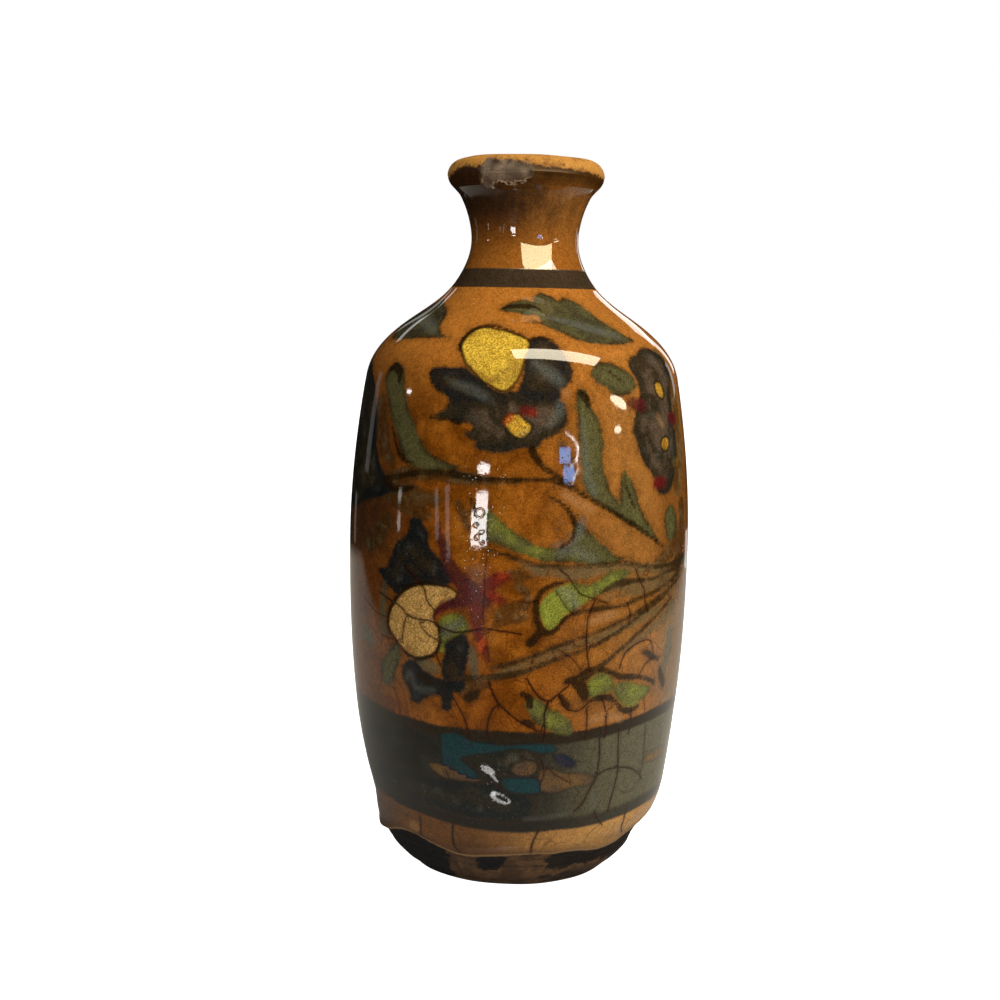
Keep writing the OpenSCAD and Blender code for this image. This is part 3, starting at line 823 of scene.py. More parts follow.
# Red and purple strokes: degrees, millimetres up and half the stroke's width.
REDS = [
    (0.1, [(-25.6, 103.6, 0.7), (-24.8, 99.4, 1.2), (-23, 95.4, 1.5), (-21.2, 92, 1.8),
           (-18, 88.8, 2.2), (-14.4, 86, 2.8), (-11, 84.6, 3.0)]),
    (0.55, [(-10.6, 85.6, 2.6), (-8.6, 88.4, 2.0), (-6.4, 90, 1.9), (-4, 90.6, 1.6)]),
    (0.6, [(-9, 85.6, 1.8), (-6, 84.6, 1.3), (-4, 83.8, 0.6)]),
    (0.45, [(-12.6, 83, 2.4), (-12.4, 79.6, 1.8), (-12.2, 76.4, 1.5), (-11, 73, 1.3), (-9.8, 70, 0.9),
            (-9.2, 67.6, 0.4)]),
    (0.05, [(-14, 84, 2.0), (-19, 83, 1.7), (-24, 81.4, 1.4), (-27, 78.6, 0.5)]),
    (1.0, [(-11.6, 75, 1.1), (-10.8, 72.6, 1.4), (-10.2, 70.4, 0.8)]),
    (0.5, [(1, 133, 1.3), (3.6, 132.6, 1.4)]),
    (0.2, [(40, 134.8, 1.6), (44.6, 134.2, 1.8)]),
    (0.45, [(49.4, 113.6, 1.6), (53.6, 113.4, 1.7)]),
    (0.2, [(62, 130.4, 1.6), (66, 129.6, 1.6)]),
    (1.0, [(-4.8, 130.2, 0.7), (-3.2, 131.4, 0.8)]),
]

# Belt strokes: 0 is teal, 0.5 navy and 1 tan.
BELT_STROKES = [
    (0.0, [(-24.6, 47), (-18.4, 47), (-14.6, 45.9), (-10, 45.4), (-4, 45.1), (4, 45.4), (12, 45.4),
           (13.6, 43.2), (7, 43.6), (1.4, 44.6), (-4, 44), (-10, 43), (-16, 41.8), (-18.6, 40.8),
           (-17.4, 39.4), (-14.4, 37.6), (-12.6, 36.2), (-14, 35.6), (-17, 36), (-20, 37), (-24, 38.2),
           (-25.2, 39), (-25, 43)]),
    (0.5, [(12.6, 41.6), (15, 43), (18, 42), (20.6, 40), (20.6, 38.6), (17, 38.8), (14.4, 40)]),
    (0.1, [(-4.5, 35.9), (1.7, 36), (7.9, 35.6), (8.1, 32.3), (1.8, 32), (-2.9, 32.9)]),
    (0.85, [(8.6, 38.2), (13, 38.2), (17, 37), (24, 36.4), (27.6, 34.8), (26, 33.4), (20, 33),
            (14, 32.1), (10, 32.4), (8.3, 33.8)]),
    (0.9, [(50.5, 36.2), (56, 37.8), (66.4, 37.5), (67.6, 35.4), (58.8, 35)]),
    (0.85, [(-31, 37.6), (-28, 38.2), (-23.4, 37.8), (-16, 35.8), (-12, 35.2), (-14, 34.6), (-22, 34.6),
            (-27, 35)]),
    (0.8, [(-0.3, 39.6), (3.1, 40.8), (6.9, 40.4), (6.6, 37.6), (2.4, 36.9), (-0.7, 37.9)]),
]

# Soft touches over the painting: 0 is a light grey-green, 0.5 a pinkish tan and 1 a dull gold.
TOUCHES = [
    (0.0, [(14, 156.6, 0.8), (24, 155.2, 1.4), (34, 153.6, 1.5), (44, 152, 0.9)]),
    (0.0, [(-41, 152.4, 0.8), (-49, 154.2, 1.6), (-58, 155.4, 2.0), (-66, 156, 1.8)]),
    (0.0, [(13.6, 87, 1.2), (16.4, 85, 2.0), (18.2, 83, 1.2)]),
    (0.0, [(1.2, 127.8, 0.5), (0.2, 127, 0.5)]),
    (0.0, [(-23.4, 74.4, 0.8), (-20.6, 76.4, 1.4), (-18.4, 77.8, 0.8)]),
    (0.0, [(11, 99.2, 0.6), (18, 97, 1.3), (24, 94.8, 0.7)]),
    (0.0, [(12.6, 96.4, 0.8), (16, 99, 1.2), (18.4, 102.4, 1.4), (20, 105, 0.8)]),
    (0.0, [(9, 129.6, 0.8), (12, 132.6, 1.4), (12.6, 135, 0.8)]),
    (0.5, [(13.4, 138.8, 0.5), (15, 137.4, 0.7)]),
    (0.5, [(25, 51.4, 0.8), (31, 52.2, 1.2), (37, 50.8, 1.0)]),
    (0.5, [(22, 78, 0.6), (27, 79.2, 1.2), (32, 80, 0.8)]),
    (0.0, [(-38, 60.4, 0.5), (-36, 62.2, 0.7), (-34, 58.6, 0.6), (-27, 58.6, 0.4)]),
    (1.0, [(-1.6, 149, 0.8), (-2.8, 145, 1.8), (-5, 141.6, 2.0), (-9.4, 141, 1.2)]),
    (0.0, [(5, 145, 1.0), (9, 142.6, 1.6), (13, 140.4, 1.2)]),
    (0.0, [(-24, 139.6, 0.8), (-17, 138, 1.1), (-12, 136.4, 0.9)]),
    (0.0, [(20.2, 131, 0.6), (20.6, 124, 0.9), (21.4, 117, 1.1), (24, 112, 0.9)]),
    (0.0, [(3, 24.2, 0.2), (12, 24.6, 0.25), (20, 25.6, 0.25)]),
    (0.0, [(28.6, 30.4, 0.2), (27.6, 28, 0.3), (29.4, 26, 0.2)]),
    (0.5, [(14, 112, 1.0), (18, 110, 1.2), (23, 108, 0.9)]),
    (0.5, [(-46, 17.4, 0.8), (-42, 17.6, 1.1), (-39.6, 17, 0.8)]),
    (1.0, [(62.6, 118, 1.0), (66, 118.4, 1.0)]),
    (0.5, [(53, 131, 0.6), (56, 128.6, 0.9)]),
]

# Dark brush lines: degrees, millimetres up and half the line's width.
LINES = [
    (0.7, [(-8, 66.4, 0.5), (-4, 67.2, 0.6), (4, 69.4, 0.7), (10, 71.4, 0.7), (16, 73.1, 0.6),
           (22, 74.7, 0.55), (28, 76, 0.55), (33, 77.4, 0.6), (38, 78.8, 0.6), (44, 80.4, 0.6),
           (52, 82.6, 0.6), (60, 84.6, 0.6), (68, 86.6, 0.5), (78, 88.2, 0.5), (90, 89, 0.6)]),
    (0.7, [(-21, 62.6, 0.6), (-16, 63.1, 0.7), (-10, 63.6, 0.8), (-4, 64.3, 1.0), (2, 65.4, 0.9),
           (8, 67.5, 0.7), (14, 69.4, 0.6), (20, 70.6, 0.55), (26, 72.4, 0.55), (31, 74.1, 0.6),
           (36, 76, 0.6), (42, 78.6, 0.5), (50, 81, 0.5), (58, 83.4, 0.5)]),
    (0.7, [(19, 62.8, 0.9), (23, 64, 1.0), (28, 66.4, 0.9), (33, 69.2, 0.7), (39, 72.2, 0.6),
           (45, 75, 0.6), (52, 78, 0.5), (60, 81.4, 0.5)]),
    (0.7, [(18, 80.8, 0.6), (24, 81.6, 0.6), (30, 81.9, 0.55), (36, 82.1, 0.6), (42, 83.3, 0.6),
           (50, 84.4, 0.6), (58, 86, 0.6), (68, 88, 0.6), (78, 88.8, 0.5), (90, 89.2, 0.6)]),
    (0.7, [(27, 86.2, 0.5), (30, 87.4, 0.9), (34, 88, 1.0), (38, 88.2, 0.7), (46, 88, 0.5),
           (56, 88.8, 0.6), (68, 90, 0.8), (78, 89.8, 0.6), (90, 89.2, 0.6)]),
    (0.7, [(-9, 97.4, 0.4), (-4, 96.2, 0.5), (1, 94.9, 0.6), (6, 93.8, 0.6), (12, 93.3, 0.6),
           (20, 93.3, 0.5), (28, 93.2, 0.5), (36, 93.2, 0.6), (46, 91.4, 0.6), (58, 90.6, 0.8),
           (68, 91.4, 1.0), (78, 90.6, 0.8), (90, 89.4, 0.8)]),
    (0.0, [(14.6, 89.5, 0.5), (10.4, 88.5, 0.7), (7, 86.6, 0.8), (5.6, 83.4, 0.9), (6, 79.6, 0.9),
           (7.4, 76.8, 1.0), (6, 75, 1.0), (4, 73.2, 1.2)]),
    (0.0, [(7.6, 76.2, 0.9), (10.6, 76, 0.8), (13, 77.6, 0.7), (15, 79.8, 0.6), (19, 81.4, 0.4)]),
    (0.0, [(15.4, 62.6, 0.7), (18, 63, 1.2), (20.4, 61.4, 1.6), (22, 59.4, 1.5), (22.4, 57.4, 0.7)]),
    (0.0, [(20.6, 64.2, 0.8), (23.4, 65.4, 0.8), (27, 65.3, 0.6), (31, 64.4, 0.7), (35, 62.7, 0.9),
           (41, 61.9, 0.9), (47, 60.8, 0.7), (52, 58.8, 0.7)]),
    (0.05, [(25, 57.2, 0.6), (29, 57.6, 0.8), (32, 57, 0.8), (35, 54.8, 0.7), (38, 52.9, 0.8),
            (42, 52.6, 0.8), (45, 53.4, 0.5)]),
    (0.1, [(44.6, 68.4, 0.6), (47.4, 67.6, 1.0), (50, 66.2, 0.9), (53.6, 65.2, 0.7)]),
    (0.15, [(55, 62, 0.8), (57, 59.4, 1.2), (59, 57, 1.0)]),
    (0.0, [(2, 59.6, 0.8), (4.2, 58.4, 1.1), (4.6, 56, 0.8)]),
    (0.1, [(14.4, 58.6, 0.9), (16, 56.8, 1.0), (17.4, 55.2, 0.5)]),
    (0.1, [(3, 51.8, 1.0), (5.6, 51, 0.8)]),
    (0.3, [(-16, 57.6, 0.8), (-13.8, 58.4, 1.4), (-12.4, 59.4, 0.8)]),
    (0.15, [(-50, 112.6, 0.8), (-42, 114.6, 0.9), (-34, 116, 0.9), (-24, 116.4, 0.9), (-14, 115.6, 0.8),
            (-4, 115.4, 0.7), (4, 115.6, 0.6), (10, 115.4, 0.7), (15, 114.2, 0.7), (20, 111.7, 0.7),
            (25, 109.3, 0.7), (30, 107.2, 0.7), (35, 104.7, 0.7), (41, 102, 0.7), (47, 99.2, 0.6),
            (53, 96.2, 0.5)]),
    (0.05, [(3.4, 123.4, 1.0), (5, 121, 0.9), (7, 119, 0.8), (10, 117.2, 0.8), (14, 115.2, 0.7)]),
    (0.2, [(9, 111.4, 0.3), (13, 109.6, 0.5), (16, 106.8, 0.6), (17.2, 103.6, 0.6), (16.4, 100.2, 0.5),
           (13, 98.4, 0.4)]),
    (0.1, [(-15, 110, 0.5), (-13, 105, 0.7), (-11, 100, 0.5)]),
    (0.05, [(19.6, 138, 0.7), (21.4, 136.4, 1.0), (22, 134.6, 0.7)]),
    (0.0, [(2.6, 150.8, 0.5), (7, 151.5, 0.6), (12, 150.7, 0.5)]),
    (0.1, [(-23.4, 147.6, 0.5), (-24.4, 150, 0.6), (-22, 153, 0.7), (-17, 154.2, 0.7), (-11, 154, 0.6),
           (-5, 153, 0.5), (0, 151.8, 0.3)]),
    (0.0, [(-33, 142.4, 0.4), (-32.8, 140.2, 0.4), (-29, 137.6, 0.4)]),
    (0.1, [(-31, 130.6, 0.5), (-26, 130.2, 0.6), (-20, 129.6, 0.5)]),
    (0.0, [(-48, 112, 0.8), (-42, 111, 0.9), (-36, 112, 0.6)]),
    (0.05, [(-54, 142.4, 0.8), (-51, 142.8, 1.3), (-48, 141.6, 1.2), (-47, 139, 0.8)]),
    (0.1, [(-47.6, 127, 0.5), (-43.6, 121, 0.6), (-38, 117.8, 0.6)]),
    (0.0, [(-21.4, 86.8, 0.3), (-27, 87.4, 0.4), (-34, 86.6, 0.5), (-40, 83.6, 0.5), (-44, 79.8, 0.5),
           (-45.8, 75.6, 0.4), (-45, 72.4, 0.4)]),
    (0.0, [(-24.8, 71.6, 0.3), (-26, 69.2, 0.4), (-29.4, 67.6, 0.5), (-34, 66.6, 0.5),
           (-38, 67.6, 0.4)]),
    (0.0, [(-11, 158.8, 0.7), (-6, 159.3, 1.0), (0, 159.5, 1.3), (5, 159.2, 1.2), (9, 158.4, 0.6)]),
    (0.0, [(-33, 62.4, 0.6), (-30.6, 61.8, 1.2), (-28, 61, 0.8)]),
    (0.3, [(28, 144, 0.3), (33, 142.4, 0.4), (37, 140.4, 0.3)]),
    (0.2, [(34.6, 116.4, 0.4), (36.4, 112, 0.5), (39, 107.6, 0.5)]),
]

# Bubbles that burst in the glaze: degrees, millimetres up and radius. Each is a ring of points a radian
# apart, at the wall's radius there.
BUBBLES = [(-12.2, 106.8, 1.2), (-13.2, 103.6, 0.6), (-11.4, 102, 0.5), (-12.9, 100.4, 0.6),
           (-11.2, 99.2, 0.5), (-36, 93.6, 1.2)]
BUBBLE_POINTS = 6
BUBBLE_WALL = 47

# Cracks in the glaze: how dark each one is, then degrees and millimetres up.
CRACKS = [
    (0.9, [(-50, 82.6), (-45, 81.4), (-40, 80), (-37, 78.2), (-33, 77.5), (-28, 77.5), (-25.6, 76.4),
           (-20, 75.2), (-14.6, 75.8), (-9, 76.6), (-4, 76.2), (1, 75.6)]),
    (0.8, [(-38, 91), (-34, 88.4), (-30.6, 86), (-29.4, 83), (-26.6, 80.4)]),
    (0.8, [(-37.4, 78.4), (-38.6, 74.6), (-39.4, 70.2)]),
    (0.7, [(-33, 77.4), (-31, 75), (-27.4, 73), (-24.4, 72.4)]),
    (0.6, [(-48.6, 71), (-42, 70.6), (-39.4, 70.2)]),
    (0.7, [(-25.4, 76.2), (-25, 72), (-26, 69), (-24.6, 66)]),
    (0.9, [(-8.4, 62.4), (-7.2, 59.6), (-5.4, 57), (-2.6, 54.6), (0.4, 52.6), (4, 50.8), (8.4, 49)]),
    (0.8, [(-20.2, 57.4), (-18.4, 55), (-16.8, 52.6), (-15.6, 49.6), (-14.8, 46.4)]),
    (0.8, [(-5.4, 57), (-7.8, 54.2), (-9, 50.4), (-8.8, 47.4)]),
    (0.6, [(-44, 57), (-42.4, 54.4), (-41.6, 51)]),
    (0.8, [(25, 84.6), (22.6, 80.2), (22, 75), (22.5, 70), (23.6, 65.4)]),
    (0.7, [(13, 92.4), (15.4, 90.6), (17.6, 88), (20, 85.8), (24.6, 84.4), (28.6, 83.2)]),
    (0.6, [(12, 86.6), (14.2, 83.6), (16.6, 81.2)]),
    (0.9, [(3.4, 63.6), (5.8, 60.4), (8, 58.4), (10.4, 57.4)]),
    (0.9, [(10.4, 57.4), (13.6, 59.4), (17, 61.8)]),
    (0.9, [(10.4, 57.4), (9.2, 53.6), (9.6, 50.4), (9, 47)]),
    (0.8, [(14.2, 58.6), (15.4, 56), (18.4, 54.6), (21.6, 54.8), (24.2, 57)]),
    (0.8, [(23.4, 55.4), (23.8, 51), (23.4, 46.4)]),
    (0.9, [(28.6, 57.6), (30.6, 53.2), (31.2, 48.6), (31, 46)]),
    (0.6, [(30.6, 53.2), (33, 54.6)]),
    (0.8, [(41.2, 53), (41.8, 49), (41.4, 46)]),
    (0.8, [(35, 65.4), (37, 69), (42, 71), (47.4, 71.4), (49.6, 69.2), (50.8, 66)]),
    (0.7, [(43.6, 61.6), (46.6, 64.8), (50.8, 66)]),
    (0.6, [(13.6, 71.2), (17.6, 68.8), (20.6, 65.8)]),
    (0.7, [(40, 91), (42, 87.6), (44, 85.2), (44.4, 82.6), (46, 79.4)]),
    (0.6, [(36.8, 82.4), (38, 79.6), (37.8, 77)]),
    (0.9, [(29, 46), (29.6, 42), (29.4, 38), (28.8, 34.4), (26.6, 31.6), (24.4, 28), (21.4, 25.8)]),
    (0.9, [(36.8, 48), (37, 44), (37.6, 40), (38.1, 36.4), (37.6, 32), (36.4, 28), (35.4, 24)]),
    (0.7, [(9, 41), (9.7, 37.4), (8.8, 34.6)]),
    (0.6, [(11, 39), (14.6, 36.4), (19, 34.4)]),
    (0.8, [(28.6, 35.4), (33, 36.6), (38, 36.6), (43, 35.8), (48, 33.8), (52, 31)]),
    (0.6, [(50, 46.6), (50.8, 42), (51.4, 37), (50.6, 32)]),
    (1.0, [(45.2, 23), (45.6, 20), (47, 17.2), (49.6, 15.2)]),
    (0.8, [(29.4, 24.6), (31, 22.6), (34, 20.2)]),
    (1.0, [(8.2, 21), (7.4, 17.8), (7.6, 14.8), (8.4, 12.4)]),
    (1.0, [(-24, 21.4), (-24.2, 17.6), (-22.6, 14.2), (-19, 11.8)]),
    (0.9, [(-39, 20.4), (-38.6, 17.6), (-37, 15)]),
    (0.5, [(-24, 36.6), (-23, 34), (-21.4, 30)]),
    (0.5, [(-36, 50), (-36.4, 44), (-35, 40)]),
    (0.5, [(-9.4, 97), (-10, 92), (-10, 86), (-10.6, 80), (-9.4, 74), (-8.6, 68.6)]),
    (0.5, [(-1, 84.2), (3, 84), (6.4, 84.6)]),
    (0.6, [(48.6, 51.4), (47.6, 54.6)]),
    (0.5, [(-60, 80), (-55, 78), (-50, 76.6), (-45.4, 76.4)]),
]


def run_of(height):
    """Millimetres along the glaze's face from its foot up to a height."""
    return np.interp(height, rail_height, rail_run)


def reach_of(run):
    """The face's radius at a run up the glaze."""
    return np.interp(run, rail_run, rail_radius)


reach = from_axis(spots) / MM
run = run_of(spots[:, 2] / MM)
for layer, shapes, closed in (("wash", WASHES, False), ("leaf", LEAVES, True), ("heart", HEARTS, True),
                              ("petal", PETALS, True), ("red", REDS, False), ("belt", BELT_STROKES, True),
                              ("touch", TOUCHES, False), ("line", LINES, False)):
    edge, tone = paint_field(round_the_back(shapes), closed, turn, reach, run, run_of, reach_of)
    paint_on(skin, layer + "_edge", edge)
    paint_on(skin, layer + "_tone", tone)
gap, sided, tone = crack_field(round_the_back(CRACKS), turn, reach, run, run_of, reach_of)
rings = [(1.0, [(t + math.degrees(size * math.sin(k) / BUBBLE_WALL), up + size * math.cos(k))
                for k in range(BUBBLE_POINTS)]) for t, up, size in BUBBLES]
paint_on(skin, "bubble_edge", paint_field(rings, True, turn, reach, run, run_of, reach_of)[0])
paint_on(skin, "crack_gap", gap)
paint_on(skin, "crack_side", sided)
paint_on(skin, "crack_tone", tone)
paint_on(skin, "flake_edge", flake_edge(spots, turn))
soil(skin, spots, turn)

# The glaze's lower edge, in degrees round and millimetres up.
GLAZE_EDGE = [(-180, 12.6), (-160, 13.6), (-140, 11.8), (-120, 13), (-100, 10), (-80, 8.4), (-70, 10.2),
              (-62, 11.6), (-50, 14.4), (-41, 14.6), (-34, 13.4), (-27, 12.1), (-22, 11.2), (-16, 11.1),
              (-8, 11.8), (0, 12.4), (9, 12.7), (18, 12.4), (27, 12.6), (38, 11.3), (50, 11.6),
              (58, 13.4), (72, 15.4), (90, 15.6), (110, 13), (130, 13.4), (155, 14), (180, 12.6)]
# The belt's lower and upper edges, in the same way.
BELT_FOOT = [(-180, 21.6), (-120, 22.4), (-63, 23), (-51, 22.4), (-38, 21.8), (-24, 20.8), (-13, 20.2),
             (0, 20), (15, 20.4), (32, 20.8), (46, 21.6), (66, 22.4), (120, 21.8), (180, 21.6)]
BELT_TOP = [(-180, 50), (-120, 50.6), (-66, 51.2), (-50, 50.4), (-36, 49.8), (-24, 49.3), (-10, 49.2),
            (4, 49.2), (16, 48.8), (26, 49.3), (36, 50), (46, 50.6), (60, 51.2), (90, 51), (135, 50.2),
            (180, 50)]
# The roll at the glaze's lower edge: how far it stands out, how high its middle lies and half its width in
# millimetres, then how uneven it is and its waves, and where it ran thin, how wide a turn and by how much.
ROLL_SWELL, ROLL_MIDDLE, ROLL_WIDE = 0.8, 1.5, 1.5
ROLL_UNEVEN, ROLL_WAVES = 0.25, [(1, 5, 0), (1, 9, 30)]
THIN_AT, THIN_OVER, THIN_BY = 85, 28, 0.8
# The clay under the edge lies this far back, and the step comes between these heights about the edge.
BARE_DEPTH = 0.6
BARE_STEP = (-0.5, 0.7)
# How much of the coat was wiped off the lip and between which heights, and how much wore off all over.
LIP_COAT = 0.36
LIP_WIPED = (192.5, 195.4)
COAT_WEAR = 0.03
# Points within this many millimetres of the glaze's outline are on its face.
FACE_DEPTH = 0.5


def hand_thrown(places, turn):
    """The glaze's roll at its lower edge, the bare clay under it and the thin coat on the lip."""
    radius = from_axis(places) / MM
    up = places[:, 2] / MM
    above = above_line(GLAZE_EDGE, places, turn)
    thinned = 1 - THIN_BY * np.exp(-((turn - THIN_AT) / THIN_OVER) ** 2)
    uneven = (1 + ROLL_UNEVEN * ripple(turn, *ROLL_WAVES)) * thinned
    roll = ROLL_SWELL * np.exp(-((above - ROLL_MIDDLE) / ROLL_WIDE) ** 2) * uneven
    swell = roll - BARE_DEPTH * (1 - fade(above, *BARE_STEP))
    outward = radius > reach_of(run_of(up)) - FACE_DEPTH
    wiped = LIP_COAT * fade(up, *LIP_WIPED) * outward
    grown = (radius + (swell - COAT_WEAR + wiped_round(places) / MM) * outward - wiped) / radius
    moved = places.copy()
    moved[:, 0] *= grown
    moved[:, 1] *= grown
    sideways, back = slipped(places)
    moved[:, 0] += sideways
    moved[:, 1] += back
    return handled_lip(moved, turn)


for layer, line in (("pooled", GLAZE_EDGE), ("worn", WEAR_LINE),
                    ("belt_foot", BELT_FOOT), ("belt_top", BELT_TOP)):
    paint_on(skin, layer, above_line(line, spots, turn))
move_to(skin, hand_thrown(spots, turn))

# The dark band round the neck, and how soft its edges are.
BAND_LOW, BAND_HIGH = 164.4 * MM, 169.6 * MM
BAND_SOFT = 0.2 * MM
# The belt's edges are this soft, and its dark line starts this far under its upper edge, in millimetres.
BELT_SOFT = 0.5
BELT_LINE = 3.2
# The glaze came out clean above this height, and the change takes this much to each side of it.
CLEAN_ABOVE = 122 * MM
CLEAN_FADE = 3 * MM
# The neck band and the wiped lip dried dull: where that starts at the lip, how little they shine, and how
# much the rest of the glaze does.
DRY_ABOVE = 191.6 * MM
DRY_SHINE, WET_SHINE = 0.0, 0.5
GLAZE_IOR = 1.52
# Fine crazing and pits: how many cells, bends and pits there are in a metre, and how far the cells are bent.
CELLS_PER_METRE, BENDS_PER_METRE, PITS_PER_METRE = 95.0, 90.0, 700.0
CRAZE_BEND = 8 * MM
# Colours laid by place over the amber: pigment, how far it covers, and between which millimetres
# across and up it comes in. Most are painted light and shade: paler from the middle to the right, darker
# toward the left and in a strip near the left edge, and paler orange up the shoulder where it faces the
# light.
# A brown toward the right edge and a grey low on the right are laid in the same way.
SHADE_AND_TINT_ZONES = [
    ("#ab763b", 0.6, [("X", -2, 32)]),
    ("#56301a", 0.65, [("X", -20, -42)]),
    ("#7a4716", 0.6, [("X", 33, 42), ("Z", 87, 97), ("Z", 124, 112)]),
    ("#35251a", 0.6, [("X", -28, -39), ("X", -47.5, -44.5), ("Z", 89, 95), ("Z", 116, 108)]),
    ("#655b42", 0.55, [("X", 35, 43), ("Z", 94, 84)]),
    ("#bf782e", 0.75, [("Z", 128, 152)]),
]


def amber_glaze(name, shine):
    """Amber glaze over underglaze painting, speckled, crazed low down and pitted where it boiled."""
    r = Recipe(name)
    r.shader.inputs["Specular IOR Level"].default_value = shine
    r.shader.inputs["IOR"].default_value = GLAZE_IOR
    across, up = r.axis("X"), r.axis("Z")
    broad = r.noise(24 * MM, 3.0, 0.55)
    cloud = r.noise(6 * MM, 4.0, 0.6, 0.3)
    fleck = r.noise(1.4 * MM, 3.0, 0.6)
    grain = r.noise(0.34 * MM, 2.0, 0.7)
    mottle = r.swing(cloud, 0.28, 0.72)
    spotty = r.swing(fleck)
    grit = r.swing(grain, 0.22, 0.78)
    waver = r.sum("MULTIPLY_ADD", mottle, 0.26, r.sum("MULTIPLY", grit, 0.1))
    waver = r.sum("MULTIPLY_ADD", spotty, 0.16, waver)

    def brushed(layer, soft=0.5, grow=0.0, wander=1.0):
        """Where a layer's paint lies, with an edge that the brush and the kiln left soft."""
        edge = r.sum("MULTIPLY_ADD", waver, wander, r.painted(layer + "_edge"))
        return r.ramp(edge, grow + soft, grow - soft)

    def toned(layer, low, middle, high, vary=0.3, lift=0.0):
        """A layer's colour: its tones 0, 0.5 and 1 take the three pigments, and the kiln varies them."""
        tone = r.sum("MULTIPLY_ADD", mottle, vary, r.painted(layer + "_tone"))
        tone = r.sum("ADD", tone, lift)
        first = r.blend(r.ramp(tone, 0.0, 0.5), pigment(low), pigment(middle))
        return r.blend(r.ramp(tone, 0.5, 1.0), first, pigment(high))

    def lay(colour, share, paint, cover=1.0):
        """The colour with paint over it, as thick as its cover."""
        return r.blend(r.both(share, cover), colour, paint)

    deep = r.blend(r.ramp(broad, 0.35, 0.65), pigment("#6f3b06"), pigment("#84490c"))
    light = r.blend(r.ramp(broad, 0.35, 0.65), pigment("#985412"), pigment("#ac681f"))
    colour = r.blend(r.ramp(cloud, 0.3, 0.7), deep, light)
    # Painted light and shade, with a brown and a grey, laid over the amber by place.
    for code, cover, limits in SHADE_AND_TINT_ZONES:
        share = r.both(*[r.ramp(r.axis(letter), low * MM, high * MM) for letter, low, high in limits])
        colour = lay(colour, share, pigment(code), cover)
    # Below the belt the amber goes over to tan, dark on the left and pale on the right: painted shade and
    # light.
    tan_strip_with_painted_shade = r.blend(r.ramp(across, -15 * MM, 30 * MM), pigment("#6c4724"), pigment("#dca55a"))
    colour = lay(colour, r.ramp(up, 24 * MM, 20 * MM), tan_strip_with_painted_shade, 0.8)
    # Painted shade: the glaze darkens toward its lower edge, where the roll turns under.
    colour = lay(colour, r.ramp(up, 17.2 * MM, 14.6 * MM), pigment("#43290f"), 0.45)
    neck_amber = r.blend(cloud, pigment("#874c14"), pigment("#a06426"))
    colour = lay(colour, r.ramp(up, 164 * MM, 170 * MM), neck_amber, 0.8)
    # Up to the lip the colour goes over to the neck's: painted shade on the left and under the lip.
    colour = r.blend(r.ramp(up, 173 * MM, 187 * MM), colour, neck_shaded_left(r))

    belt_foot = r.sum("MULTIPLY_ADD", waver, 0.6, r.painted("belt_foot"))
    belt_top = r.sum("MULTIPLY_ADD", waver, 0.6, r.painted("belt_top"))
    belt_ground = r.blend(r.ramp(cloud, 0.3, 0.7), pigment("#171712"), pigment("#2d2b23"))
    # The belt pales to grey toward the right, partly its own colour and partly a painted reflection.
    belt_ground = lay(belt_ground, r.ramp(across, 2 * MM, 30 * MM), pigment("#6b654b"), 0.8)
    belt_ground = lay(belt_ground, r.ramp(belt_foot, 4.6, 2.6), pigment("#231f17"), 0.75)
    belt_line = r.ramp(belt_top, -BELT_LINE - BELT_SOFT, -BELT_LINE + BELT_SOFT)
    belt_ground = lay(belt_ground, belt_line, pigment("#2b2214"))
    in_belt = r.both(r.ramp(belt_foot, -BELT_SOFT, BELT_SOFT), r.ramp(belt_top, BELT_SOFT, -BELT_SOFT))
    colour = lay(colour, in_belt, belt_ground)

    halo = r.most(*[brushed(layer, 1.8, 1.0) for layer in ("line", "petal", "leaf")])
    colour = lay(colour, halo, pigment("#40260a"), 0.32)
    colour = lay(colour, brushed("wash", 0.8), toned("wash", "#6f5f3e", "#432c10", "#5c5c46"), 0.75)
    leaf = brushed("leaf", 0.6)
    leaf_colour = toned("leaf", "#282a22", "#595734", "#8a9136", 0.13)
    leaf_rim = r.both(r.ramp(r.painted("leaf_edge"), -2.0, 0.1),
                      r.ramp(r.noise(8 * MM, 2.0), 0.35, 0.6, 0.15, 0.95),
                      r.ramp(r.painted("leaf_tone"), 0.5, 0.9, 0.9, 0.2))
    leaf_colour = r.blend(leaf_rim, leaf_colour, pigment("#241a0a"))
    colour = lay(colour, leaf, leaf_colour, 0.95)
    petal = brushed("petal", 0.6)
    within = r.ramp(r.painted("petal_edge"), -0.5, -4.5, -0.12, 0.28)
    petal_colour = toned("petal", "#131d1f", "#2b281c", "#57493a", 0.3, within)
